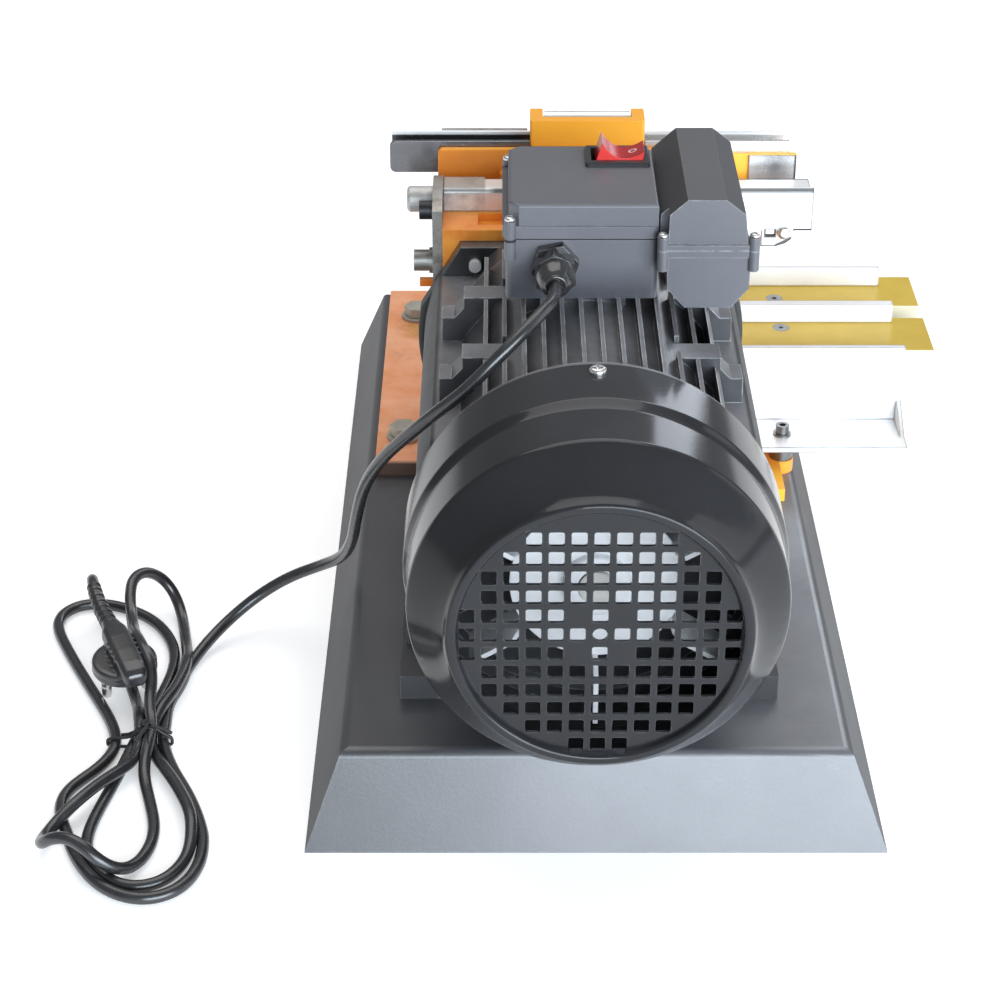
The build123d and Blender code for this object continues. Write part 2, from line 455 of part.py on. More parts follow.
# ------------------------------------------------------------- top station
RY = 16.5                                     # front face of the rail
rail = bx(-70, 70, RY, 30, DECK_Z, RAIL_TOP) + bx(70, 111, RY, 30, RAIL_TOP - 3.4, RAIL_TOP) + bx(-70, -49.4, RY, 33, DECK_Z, RAIL_TOP)
rail = rail + bx(70, 112.5, RY, RY + 3, 178.5, RAIL_TOP)
rail = fillet([e for e in rail.edges().filter_by(Axis.X) if abs(e.center().Y - RY) < 0.01 and abs(e.center().Z - RAIL_TOP) < 0.01], 2.4)
rail = rail - cx(6.48, STOP_Y, STOP_Z, -72, -21)
rail = rail + xz([(87.6, 178.6), (103.7, 178.6), (102.5, 173.7), (99.7, 171.5), (94.8, 169.9), (87.6, 169.9)], RY, RY + 3)   # hook below the apron
rail = rail - bx(89.8, 94.2, RY - 1, RY + 4, 175.6, 179.0) - cy(2.05, 98.8, 177.6, RY - 1, RY + 4)
add("front_guide_rail", rail)

stop = cx(6.4, STOP_Y, STOP_Z, -88, -34)
stop = fillet(stop.edges().sort_by(Axis.X)[0], 2.0)
add("stop_rod", stop)

beam = bx(-73, 106, 40.8, 44, DECK_Z, BEAM_Z)
beam = fillet(beam.edges().filter_by(Axis.Y).group_by(Axis.X)[0].sort_by(Axis.Z)[-1], 2.6)
beam = beam + bx(-42, 106, 33.5, 44, DECK_Z, 201.8)
beam = beam - bx(70, 107, 31, 41.5, 180, 215) - bx(70, 107, 31, 45, 180, 192.0) - bx(70, 107, 31, 45, 209.1, 215)
beam = beam - bx(-74, -70, 31, 45, 180, 190.0)
add("guide_beam", beam)
add("wear_plate", bx(82, 105.8, 40, 41.5, 196, 208.6))

chan = bx(-97, 102.5, 44, 72, CHAN_Z0, CHAN_Z1)
chan = fillet(chan.edges().filter_by(Axis.Y).group_by(Axis.X)[0], 3.0)
chan = chan - bx(-98, 104, 46.2, 69.8, CHAN_Z0 + 2.2, CHAN_Z1 + 5) - bx(-98, 104, 69, 73, CHAN_BACK, CHAN_Z1 + 5)
chan = chan - bx(-30, 30, 47.5, 68.5, CHAN_Z0 - 2, CHAN_Z0 + 4) - bx(-27.2, 30.2, 43, 47, BEAM_Z, CHAN_Z1 + 5)
add("guide_channel", chan)
strip = bx(-71.6, -28, 72, 73.5, CHAN_Z0 + 2, 210.5)
add("backing_strip", strip)

capb = bx(-27, 30, 44.0, 49.5, BEAM_Z, 225.6)
for x0, x1 in ((-27.0, -20.6), (23.6, 30.0)):
    capb = capb + bx(x0, x1, 44.0, 61.0, 215.0, 225.6)
capb = fillet(capb.edges().filter_by(Axis.Z).sort_by(Axis.Y)[0:2], 1.5)
capb = capb - cx(1.95, 57.0, 221.0, -30, 33)
add("hold_down_bracket", capb)
add("hold_down_roller", cx(4.6, 57.0, 221.0, -20.0, 23.0) + cx(1.9, 57.0, 221.0, -26.6, 29.6))

# domed screw in the rail's hook
hs = fillet(cy(3.5, 98.8, 177.6, RY - 2.4, RY).edges().sort_by(Axis.Y)[0], 1.9) + cy(2.0, 98.8, 177.6, RY, RY + 6)
add("hook_screw", hs)

# ------------------------------------------------------------ feed troughs
pl = []
for y0, y1, x1 in ((37.5, 76.0, 183.5), (91.0, 128.0, 183.5)):
    p = bx(66, x1, y0, y1, TROUGH_Z0, TROUGH_Z1)
    p = chamfer(p.edges().filter_by(Axis.Z).sort_by(Axis.X)[0:2], 2.0)
    pl.append(p)
SCREW_X = 106.5
SCREW_Y = (64.6, 101.0)
for i, y in enumerate(SCREW_Y):
    pl[i] = pl[i] - cz(2.2, SCREW_X, y, 90, 104) - Pos(SCREW_X, y, TROUGH_Z1 - 1.2) * Cone(2.2, 4.6, 2.4)
pl[0] = pl[0] - bx(66 - 1, 72, 47.5, 68.5, 90, 104)
add("trough_plates", *pl)
add("trough_fences", bx(66, 166, 70, 76, TROUGH_Z1, 112.4), bx(66, 165, 116, 119, TROUGH_Z1, 113.0))
ts = []
for y in SCREW_Y:
    s = cz(2.0, SCREW_X, y, 82, 101.0) + Pos(SCREW_X, y, TROUGH_Z1 - 1.2) * Cone(2.0, 4.4, 2.3)
    ts.append(s - hexz(2.5, SCREW_X, y, 100.6, 104))
add("trough_screws", *ts)

carr = bx(95, 118, 37.5, 126, 80, TROUGH_Z0) + bx(92, 103, 70, 112, RAIL_Z, 80)
for y in SCREW_Y:
    carr = carr - cz(2.05, SCREW_X, y, 79, 94)
add("trough_carrier", carr)

brk = bx(78, 168, 34.5, 37.5, 63.0, 105.0) + bx(78, 168, 3.5, 37.5, 60.0, 63.0)
brk = brk + yz([(37.5 - 3, 63), (14.0, 63), (34.5, 74)], 165.5, 168)
brk = brk - cz(2.3, BRK_X, 18.0, 58, 65)
add("support_bracket", brk)
add("bracket_fasteners", cap_screw_z(BRK_X, 18.0, 64.0, 2.0, 14.0, 3.4, 4.6), ring_z(2.2, 4.6, BRK_X, 18.0, 63.0, 64.0),
    ring_z(2.2, 6.0, BRK_X, 18.0, RAIL_Z, 60.0))

# ------------------------------------------------------- cutter arbor group
arb = lathe_y([(2.0, SHAFT_R), (33.5, SHAFT_R), (33.5, 0), (150.5, 0), (151, 8.0), (151, 8.5), (134.5, 8.5), (134.5, 12.0), (38.0, 12.5), (38.0, 21.0), (34.0, 21.0),
               (34.0, 16.5), (2.0, 16.5)])
add("cutter_arbor", arb)


def cutter(r, y0, y1, teeth, gullet):
    c = cy(r - 7.0, 0, AX_Z, y0 + 1.5, y1 - 1.5) - cy(12.5, 0, AX_Z, y0 - 1, y1 + 1)
    c = c + (cy(20.0, 0, AX_Z, y0, y1) - cy(12.5, 0, AX_Z, y0 - 1, y1 + 1))
    for k in range(teeth):
        t = xz([(-8.0, r - 24.0), (7.0, r - 24.0), (7.0, r - 6.0), (3.0, r - 1.2), (-3.2, r - 0.15), (-4.2, r - 0.6)], y0, y1)
        c = c + Pos(0, 0, AX_Z) * Rot(0, 360.0 * k / teeth, 0) * t
    return c


add("notch_cutter", cutter(CUT_R1, 49.0, 67.0, 6, 0))
add("groove_cutter", cutter(CUT_R2, 97.0, 111.0, 6, 0))
add("arbor_spacers", *[cy(19.0, 0, AX_Z, a, b) - cy(12.5, 0, AX_Z, a - 1, b + 1) for a, b in ((38.0, 49.0), (67.0, 97.0), (111.0, 120.0))])
add("arbor_nut", hexy(36.0, 0, AX_Z, 120.0, 134.0) - cy(12.5, 0, AX_Z, 119, 136))
ob = lathe_y([(138.5, OUT_R0), (150.5, OUT_R0), (150.5, 11.0), (149.8, 11.3), (149.8, 17.0), (150.5, 17.4), (150.5, OUT_R1 - 0.02), (138.5, OUT_R1 - 0.02),
              (138.5, 17.4), (139.2, 17.0), (139.2, 11.3), (138.5, 11.0)])
add("outboard_bearing", ob)

# ------------------------------------------------------------------- cord
R = CORD_D / 2
ROUTE = [(GX, Y_EXIT, GZ), (-18.4, -154.6, 222.0), (-25.0, -168.0, 221.0), (-34.4, -178.6, 215.2), (-44.9, -185.0, 206.8), (-56.6, -187.0, 194.6), (-69.4, -183.2, 182.0), (-82.0, -174.7, 166.4),
         (-94.2, -161.7, 148.0), (-103.4, -146.0, 125.0), (-108.2, -128.0, 98.8), (-111.8, -109.5, 74.0), (-118.4, -90.6, 54.0), (-130.6, -77.0, 41.0), (-146.0, -70.0, 30.6),
         (-161.4, -70.2, 20.4), (-175.4, -77.6, 11.4), (-186.6, -91.0, 5.2), (-193.0, -109.2, 2.8), (-195.8, -125.1, 2.8), (-199.5, -138.0, 2.8)]
pts = [Vector(*p) for p in ROUTE]
radii = []
for a, b, c in zip(pts, pts[1:], pts[2:]):
    turn = math.radians((b - a).get_angle(c - b))
    radii.append(0.45 * min((b - a).length, (c - b).length) / math.tan(turn / 2))
print("cord radii", [round(r, 1) for r in radii], "turns", [round((b - a).get_angle(c - b), 1) for a, b, c in zip(pts, pts[1:], pts[2:])])
path = FilletPolyline(*pts, radius=radii)
tubep = sweep(Plane(origin=pts[0], z_dir=pts[1] - pts[0]) * Circle(R), path)
print("cord length", path.length, "volume ratio", tubep.volume / (math.pi * R * R * path.length))
add("power_cord", tubep)

# tied hank: outline of the two groups of loops and the tied waist between them
HANK = [(-195.5, -166.0), (-192.5, -134.6), (-192.5, -105.0), (-194.5, -89.0), (-198.5, -64.0), (-207.7, -52.0), (-222.0, -52.0), (-237.0, -48.9), (-253.6, -50.3),
        (-265.6, -61.4), (-266.7, -79.2), (-259.7, -94.9), (-248.2, -112.0), (-238.9, -134.3), (-226.5, -156.0), (-223.5, -166.0), (-223.5, -178.0), (-230.2, -193.0),
        (-238.1, -202.9), (-241.5, -215.0), (-241.9, -235.0), (-244.0, -246.0), (-243.0, -256.3), (-234.8, -263.8), (-225.0, -268.0), (-216.8, -275.2), (-206.0, -284.6),
        (-192.0, -287.1), (-179.4, -281.0), (-170.3, -270.7), (-168.2, -256.5), (-168.5, -245.0), (-174.7, -226.6), (-181.0, -210.0), (-190.0, -192.0), (-195.5, -178.0)]
hank = xy(HANK, 0.0, 12.0)
tie = bx(-225.7, -193.3, -175, -169, 0.0, 13.8) - bx(-224.1, -194.9, -180, -160, -1.0, 12.4)
# Angled plug over the upper loops: a disc with two round pins pointing down, and a ridge along the cable's line
PLUG_AT, PLUG_DIR = Vector(-228.8, -110.8, 25.7), Vector(0.398, -0.914, -0.075)
frame_p = Plane(origin=PLUG_AT, x_dir=PLUG_DIR, z_dir=Vector(0, 0, 1) - PLUG_DIR * (PLUG_DIR.Z / PLUG_DIR.length ** 2))
disc = fillet(Cylinder(18.0, 7.0).edges(), 1.5)
ridge = fillet(Box(44.0, 13.0, 10.0).edges().filter_by(Axis.X), 4.0)
plug = Pos(20.0, 0, -6.0) * disc + Pos(20.0, 0, 0.6) * ridge + Pos(-2.0, 0, 0) * Rot(0, 90, 0) * Cone(4.0, 5.4, 6.0)
for sy in (-1, 1):
    plug = plug + Pos(20.0, sy * 9.5, -16.4) * Cylinder(2.4, 14.0)
add("power_plug", frame_p.location * plug)
for sy in (-1, 1):
    foot = frame_p.location * Pos(20.0, sy * 9.5, -18.0)
    hank = hank - foot * Cylinder(3.4, 16.0)
add("cord_hank", hank)
add("cord_tie", tie)

for name, solids in NODES.items():
    export_step(Compound(children=solids) if len(solids) > 1 else solids[0], "parts/%s.step" % name)
print(len(NODES), "nodes")
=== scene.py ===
import math
import random

import bmesh
import bpy
from mathutils import Matrix, Vector


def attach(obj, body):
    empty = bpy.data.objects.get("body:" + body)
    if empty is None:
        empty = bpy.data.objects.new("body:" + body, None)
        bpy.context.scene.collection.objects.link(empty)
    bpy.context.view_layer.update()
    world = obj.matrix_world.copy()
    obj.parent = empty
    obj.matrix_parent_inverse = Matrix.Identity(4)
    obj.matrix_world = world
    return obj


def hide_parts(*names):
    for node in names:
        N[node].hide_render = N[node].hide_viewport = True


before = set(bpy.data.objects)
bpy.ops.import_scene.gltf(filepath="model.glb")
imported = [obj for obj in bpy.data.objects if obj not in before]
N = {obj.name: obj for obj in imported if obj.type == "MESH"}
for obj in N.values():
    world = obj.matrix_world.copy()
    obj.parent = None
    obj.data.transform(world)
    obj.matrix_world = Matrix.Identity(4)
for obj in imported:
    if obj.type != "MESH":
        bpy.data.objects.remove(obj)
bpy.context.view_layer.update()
MM = 0.001
scene = bpy.context.scene


# ------------------------------------------------------------------ materials
class Mat:
    """A procedural material: a Principled shader and short calls for the nodes that feed it, in object coordinates (metres)."""

    def __init__(self, name, color=(0.5, 0.5, 0.5), rough=0.5, metal=0.0, spec=0.5, coat=0.0, coat_rough=0.1, ior=1.5):
        self.m = bpy.data.materials.new(name)
        self.m.use_nodes = True
        self.t = self.m.node_tree
        self.b = self.t.nodes["Principled BSDF"]
        self.b.inputs["Base Color"].default_value = (*color, 1)
        self.b.inputs["Roughness"].default_value = rough
        self.b.inputs["Metallic"].default_value = metal
        self.b.inputs["Specular IOR Level"].default_value = spec
        self.b.inputs["IOR"].default_value = ior
        self.b.inputs["Coat Weight"].default_value = coat
        self.b.inputs["Coat Roughness"].default_value = coat_rough
        self.m.diffuse_color = (*color, 1)
        self.tc = self.t.nodes.new("ShaderNodeTexCoord")
        self.P = self.tc.outputs["Object"]

    def node(self, kind, **kw):
        n = self.t.nodes.new(kind)
        for k, v in kw.items():
            setattr(n, k, v)
        return n

    def put(self, socket, v):
        if isinstance(v, bpy.types.NodeSocket):
            self.t.links.new(v, socket)
        elif isinstance(v, (tuple, list)) and len(v) == 3 and socket.type == "RGBA":
            socket.default_value = (*v, 1)
        else:
            socket.default_value = v

    def scaled(self, sx, sy, sz, src=None):
        n = self.node("ShaderNodeMapping")
        n.inputs["Scale"].default_value = (sx, sy, sz)
        self.put(n.inputs["Vector"], src or self.P)
        return n.outputs[0]

    def noise(self, scale, detail=4.0, rough=0.55, vec=None, dist=0.0):
        n = self.node("ShaderNodeTexNoise")
        self.put(n.inputs["Vector"], vec or self.P)
        self.put(n.inputs["Scale"], scale)
        self.put(n.inputs["Detail"], detail)
        self.put(n.inputs["Roughness"], rough)
        self.put(n.inputs["Distortion"], dist)
        return n.outputs[0]

    def voronoi(self, scale, feature="F1", vec=None, out=0):
        n = self.node("ShaderNodeTexVoronoi", feature=feature)
        self.put(n.inputs["Vector"], vec or self.P)
        self.put(n.inputs["Scale"], scale)
        return n.outputs[out]

    def ramp(self, fac, stops, mode="LINEAR"):
        n = self.node("ShaderNodeValToRGB")
        cr = n.color_ramp
        cr.interpolation = mode
        while len(cr.elements) < len(stops):
            cr.elements.new(0.5)
        for e, (p, c) in zip(cr.elements, stops):
            e.position = p
            e.color = (*c, 1) if isinstance(c, (tuple, list)) else (c, c, c, 1)
        self.put(n.inputs[0], fac)
        return n.outputs[0]

    def span(self, v, a, b, c=0.0, d=1.0, smooth=False):
        n = self.node("ShaderNodeMapRange")
        if smooth:
            n.interpolation_type = "SMOOTHSTEP"
        self.put(n.inputs["Value"], v)
        for k, x in zip(("From Min", "From Max", "To Min", "To Max"), (a, b, c, d)):
            self.put(n.inputs[k], x)
        return n.outputs[0]

    def mix(self, fac, a, b, mode="MIX"):
        n = self.node("ShaderNodeMix", data_type="RGBA", blend_type=mode)
        self.put(n.inputs[0], fac)
        self.put(n.inputs[6], a)
        self.put(n.inputs[7], b)
        return n.outputs[2]

    def math(self, op, a, b=0.5, clamp=False):
        n = self.node("ShaderNodeMath", operation=op, use_clamp=clamp)
        self.put(n.inputs[0], a)
        self.put(n.inputs[1], b)
        return n.outputs[0]

    def axis(self, i, src=None):
        n = self.node("ShaderNodeSeparateXYZ")
        self.put(n.inputs[0], src or self.P)
        return n.outputs[i]

    def normal(self, i):
        n = self.node("ShaderNodeNewGeometry")
        return self.axis(i, n.outputs["Normal"])

    def edges(self, radius, lo=0.02, hi=0.25):
        """1 on convex and concave edges within radius, 0 on flats."""
        bv = self.node("ShaderNodeBevel", samples=6)
        bv.inputs["Radius"].default_value = radius
        geo = self.node("ShaderNodeNewGeometry")
        d = self.node("ShaderNodeVectorMath", operation="DOT_PRODUCT")
        self.put(d.inputs[0], bv.outputs[0])
        self.put(d.inputs[1], geo.outputs["Normal"])
        return self.span(self.math("SUBTRACT", 1.0, d.outputs["Value"]), lo, hi)

    def bump(self, height, strength=0.3, dist=0.0005, prev=None):
        n = self.node("ShaderNodeBump")
        self.put(n.inputs["Strength"], strength)
        self.put(n.inputs["Distance"], dist)
        self.put(n.inputs["Height"], height)
        if prev is not None:
            self.put(n.inputs["Normal"], prev)
        return n.outputs[0]

    def out(self, color=None, rough=None, metal=None, normal=None):
        for k, v in (("Base Color", color), ("Roughness", rough), ("Metallic", metal), ("Normal", normal)):
            if v is not None:
                self.put(self.b.inputs[k], v)
        return self.m


def paint(name, color, rough, grain=900.0, grain_amt=0.12, var=0.18, edge=None, edge_amt=0.5, spec=0.5, coat=0.0, smudge=0.08, blotch=24.0, wave=0.0):
    """Sprayed paint: colour drift, smudged gloss, orange peel, and worn edges."""
    m = Mat(name, color, rough, spec=spec, coat=coat)
    big = m.noise(blotch, 5.0, 0.6)
    fine = m.noise(blotch * 9.0, 4.0, 0.65)
    lo = tuple(c * (1 - var) for c in color)
    hi = tuple(min(1.0, c * (1 + var)) for c in color)
    col = m.mix(m.span(big, 0.3, 0.7), lo, hi)
    col = m.mix(m.span(fine, 0.62, 0.8, 0.0, 0.35), col, tuple(min(1.0, c * 1.35 + 0.01) for c in color))
    r = m.math("ADD", rough - smudge, m.math("MULTIPLY", m.noise(blotch * 2.3, 6.0, 0.7), 2 * smudge))
    if edge is not None:
        e = m.math("MULTIPLY", m.edges(0.0011), m.span(m.noise(160.0, 5.0, 0.7), 0.42, 0.62), True)
        e = m.math("MULTIPLY", e, edge_amt)
        col = m.mix(e, col, edge)
    peel = m.bump(m.noise(grain, 2.0, 0.5), grain_amt, 0.0004)
    if wave:
        peel = m.bump(m.noise(9.0, 2.0, 0.4), wave, 0.01, peel)
    return m.out(col, r, None, peel)


def metal(name, color, rough, scratch=(1.0, 1.0, 1.0), amt=0.1, stain=None, stain_amt=0.0, spread=0.12, scale=40.0):
    """Bare metal: long brush scratches in the given stretch, blotchy gloss and optional stain."""
    m = Mat(name, color, rough, metal=1.0)
    brush = m.noise(1.0, 3.0, 0.6, m.scaled(*(1400.0 * s for s in scratch)))
    blot = m.noise(scale, 6.0, 0.62)
    col = m.mix(m.span(blot, 0.35, 0.7), tuple(c * 0.86 for c in color), tuple(min(1.0, c * 1.06) for c in color))
    col = m.mix(m.span(brush, 0.35, 0.65, 0.0, 0.25), col, tuple(c * 0.7 for c in color))
    if stain:
        s = m.span(m.noise(scale * 1.7, 7.0, 0.7), 0.5, 0.72, 0.0, stain_amt)
        col = m.mix(s, col, stain)
    r = m.math("ADD", m.math("MULTIPLY", m.math("ADD", brush, blot), spread), rough - spread, True)
    return m.out(col, r, None, m.bump(brush, amt, 0.0002))


# ------------------------------------------------------------------ finishes
def near_point(m, at):
    """Distance in metres from a point of the part."""
    d = m.node("ShaderNodeVectorMath", operation="DISTANCE")
    m.put(d.inputs[0], m.P)
    m.put(d.inputs[1], at)
    return d.outputs["Value"]


def near_plan(m, x, y):
    """Distance in plan from an upright line, in metres."""
    f = m.node("ShaderNodeVectorMath", operation="MULTIPLY")
    m.put(f.inputs[0], m.P)
    m.put(f.inputs[1], (1.0, 1.0, 0.0))
    d = m.node("ShaderNodeVectorMath", operation="DISTANCE")
    m.put(d.inputs[0], f.outputs[0])
    m.put(d.inputs[1], (x, y, 0.0))
    return d.outputs["Value"]


def motor_paint(name, dark, light, edge, rough):
    """Black enamel on a casting: lumpy gloss, paler dusty tops that also carry painted top light, and bright rims that
    are partly worn paint and partly painted highlight.
    """
    m = Mat(name, dark, rough, spec=0.8)
    lump = m.noise(48.0, 5.0, 0.6)
    c = m.mix(m.span(lump, 0.35, 0.7), tuple(0.75 * v for v in dark), tuple(1.3 * v for v in dark))
    # Upward faces paler: partly dusty, partly painted light on the tops.
    up = m.math("MULTIPLY", m.span(m.normal(2), 0.72, 0.95), m.span(m.noise(70.0, 6.0, 0.7), 0.25, 0.62, 0.55, 1.0))
    c = m.mix(up, c, light)
    fleck = m.span(m.noise(330.0, 5.0, 0.7), 0.66, 0.78, 0.0, 0.6)
    c = m.mix(fleck, c, tuple(2.2 * v for v in dark))
    # Pale rims along the edges: partly worn paint, partly painted highlight.
    rim = m.math("MULTIPLY", m.edges(0.0010, 0.01, 0.14), m.span(m.noise(120.0, 5.0, 0.7), 0.36, 0.58))
    c = m.mix(m.math("MULTIPLY", rim, 0.85), c, edge)
    r = m.math("ADD", rough - 0.09, m.math("MULTIPLY", m.noise(60.0, 6.0, 0.7), 0.2))
    side = m.math("ABSOLUTE", m.math("ADD", m.axis(0), 0.0022))
    flank = m.math("MULTIPLY", m.span(side, 0.0672, 0.0685), m.span(m.axis(2), 0.170, 0.1685))
    r = m.math("ADD", r, m.math("MULTIPLY", flank, 0.34))
    c = m.mix(m.math("MULTIPLY", flank, 0.85), c, tuple(0.35 * v for v in dark))
    b = m.bump(m.noise(420.0, 3.0, 0.5), 0.16, 0.0004)
    return m.out(c, r, None, m.bump(lump, 0.10, 0.002, b))


def base_paint():
    """Satin dark grey paint with scuffs near the front right corner and along the folds, a paler dusty top towards the
    right that also carries painted light, painted shade on the front left and on faces turned to the right, and painted
    light on front-facing faces fading out to the left.
    """
    m = Mat("base_paint", (0.060, 0.061, 0.066), 0.34, spec=0.9)
    big = m.noise(14.0, 5.0, 0.6)
    fine = m.noise(130.0, 5.0, 0.7)
    c = m.mix(m.span(big, 0.3, 0.7), (0.046, 0.047, 0.052), (0.062, 0.063, 0.070))
    c = m.mix(m.span(fine, 0.60, 0.80, 0.0, 0.45), c, (0.105, 0.106, 0.112))
    worn = m.math("MULTIPLY", m.edges(0.0016), m.span(m.noise(120.0, 5.0, 0.7), 0.40, 0.62), True)
    c = m.mix(m.math("MULTIPLY", worn, 0.6), c, (0.26, 0.26, 0.27))
    scuff = m.span(m.noise(34.0, 7.0, 0.75, m.scaled(1.0, 1.0, 2.6)), 0.60, 0.70)
    near = m.math("MULTIPLY", m.span(m.axis(0), 0.02, 0.11, 0.0, 1.0), m.span(m.axis(1), -0.17, -0.235, 0.0, 1.0))
    c = m.mix(m.math("MULTIPLY", m.math("MULTIPLY", scuff, near), 0.8), c, (0.20, 0.20, 0.21))
    # Paler upward faces towards the right: partly dusty, partly painted light.
    dust_and_light = m.math("MULTIPLY", m.span(m.axis(0), 0.045, 0.115), m.span(m.normal(2), 0.8, 0.97))
    dust_and_light = m.math("MULTIPLY", dust_and_light, m.span(m.noise(26.0, 6.0, 0.7), 0.25, 0.65, 0.45, 0.9))
    c = m.mix(dust_and_light, c, (0.235, 0.235, 0.25))
    # Painted shade: the front left of the plinth made darker.
    shade = m.math("MULTIPLY", m.span(m.axis(0), 0.0, -0.09), m.span(m.axis(1), -0.185, -0.222, 0.0, 0.5))
    c = m.mix(shade, c, (0.018, 0.018, 0.020))
    # Painted light: front-facing faces made paler, fading out to the left.
    sloped_front_light = m.math("MULTIPLY", m.span(m.normal(1), -0.3, -0.6), m.span(m.axis(0), -0.075, -0.01, 0.0, 0.6))
    c = m.mix(sloped_front_light, c, (0.125, 0.125, 0.138))
    # Painted shade: faces turned to the right made darker.
    c = m.mix(m.span(m.normal(0), 0.3, 0.7, 0.0, 0.8), c, (0.018, 0.018, 0.020))
    side = m.math("ABSOLUTE", m.normal(0))
    r = m.math("ADD", m.span(side, 0.3, 0.8, 0.28, 0.55), m.math("MULTIPLY", m.noise(32.0, 6.0, 0.7), 0.13))
    peel = m.bump(m.noise(700.0, 2.0, 0.5), 0.08, 0.0004)
    peel = m.bump(m.noise(9.0, 2.0, 0.4), 0.10, 0.01, peel)
    return m.out(c, r, None, peel)


def cowl_paint():
    """Gloss black enamel on sheet: a thin dusty film with painted sheen on top, painted shade making the left side
    deeper black, rubbed rims.
    """
    m = Mat("cowl_black", (0.0185, 0.0185, 0.0200), 0.115, spec=0.27)
    c = m.mix(m.span(m.noise(18.0, 5.0, 0.6), 0.3, 0.7), (0.0155, 0.0155, 0.0168), (0.0212, 0.0212, 0.0230))
    c = m.mix(m.span(m.noise(162.0, 4.0, 0.65), 0.62, 0.8, 0.0, 0.35), c, (0.034, 0.034, 0.036))
    # Upward faces paler: a thin dusty film and a painted sheen.
    soft = m.span(m.noise(26.0, 5.0, 0.65), 0.25, 0.7, 0.6, 1.0)
    c = m.mix(m.math("MULTIPLY", m.span(m.normal(2), 0.84, 0.97), soft), c, (0.042, 0.042, 0.045))
    # Painted shade: faces turned to the left made deeper black.
    left = m.span(m.normal(0), -0.35, -0.75)
    c = m.mix(m.math("MULTIPLY", left, 0.7), c, (0.009, 0.009, 0.0095))
    rim = m.math("MULTIPLY", m.edges(0.0011), m.span(m.noise(160.0, 5.0, 0.7), 0.42, 0.62), True)
    c = m.mix(m.math("MULTIPLY", rim, 0.45), c, (0.14, 0.14, 0.14))
    r = m.math("ADD", m.span(left, 0.0, 1.0, 0.085, 0.13), m.math("MULTIPLY", m.noise(41.4, 6.0, 0.7), 0.06))
    peel = m.bump(m.noise(800.0, 2.0, 0.5), 0.03, 0.0004)
    return m.out(c, r, None, m.bump(m.noise(9.0, 2.0, 0.4), 0.08, 0.01, peel))


def moulding(name, low):
    """Grained grey moulding: sloped sides with painted shade and duller gloss, pale rubbed rims, and a painted shadow
    low on the front where asked, else painted shade on the tops.
    """
    m = Mat(name, (0.101, 0.102, 0.114), 0.44, spec=0.7)
    c = m.mix(m.span(m.noise(20.0, 5.0, 0.6), 0.3, 0.7), (0.094, 0.095, 0.106), (0.108, 0.109, 0.122))
    c = m.mix(m.span(m.noise(180.0, 4.0, 0.65), 0.62, 0.8, 0.0, 0.35), c, (0.146, 0.148, 0.164))
    # Painted shade: sloped sides made darker, and duller in the roughness below.
    slope_shade = m.math("MULTIPLY", m.span(m.math("ABSOLUTE", m.normal(0)), 0.38, 0.52), m.span(m.normal(2), 0.25, 0.45))
    c = m.mix(m.math("MULTIPLY", slope_shade, 0.85), c, (0.022, 0.022, 0.024))
    if low:
        # Painted shadow: front faces darker towards the bottom.
        low_front_shadow = m.math("MULTIPLY", m.span(m.normal(1), -0.5, -0.8), m.span(m.axis(2), 0.223, 0.209))
        c = m.mix(m.math("MULTIPLY", low_front_shadow, m.span(m.noise(34.0, 5.0, 0.65), 0.25, 0.7, 0.7, 1.0)), c, (0.034, 0.035, 0.045))
    else:
        # Painted shade: upward faces made darker.
        c = m.mix(m.span(m.normal(2), 0.90, 0.97, 0.0, 0.5), c, (0.045, 0.045, 0.047))
    rim = m.math("MULTIPLY", m.edges(0.0011), m.span(m.noise(160.0, 5.0, 0.7), 0.38, 0.58), True)
    c = m.mix(m.math("MULTIPLY", rim, 0.35 if low else 0.6), c, (0.30, 0.30, 0.33) if low else (0.48, 0.48, 0.51))
    r = m.math("ADD", m.span(slope_shade, 0.0, 1.0, 0.39, 0.70), m.math("MULTIPLY", m.noise(46.0, 6.0, 0.7), 0.10))
    return m.out(c, r, None, m.bump(m.noise(2600.0, 2.0, 0.5), 0.14, 0.0004))


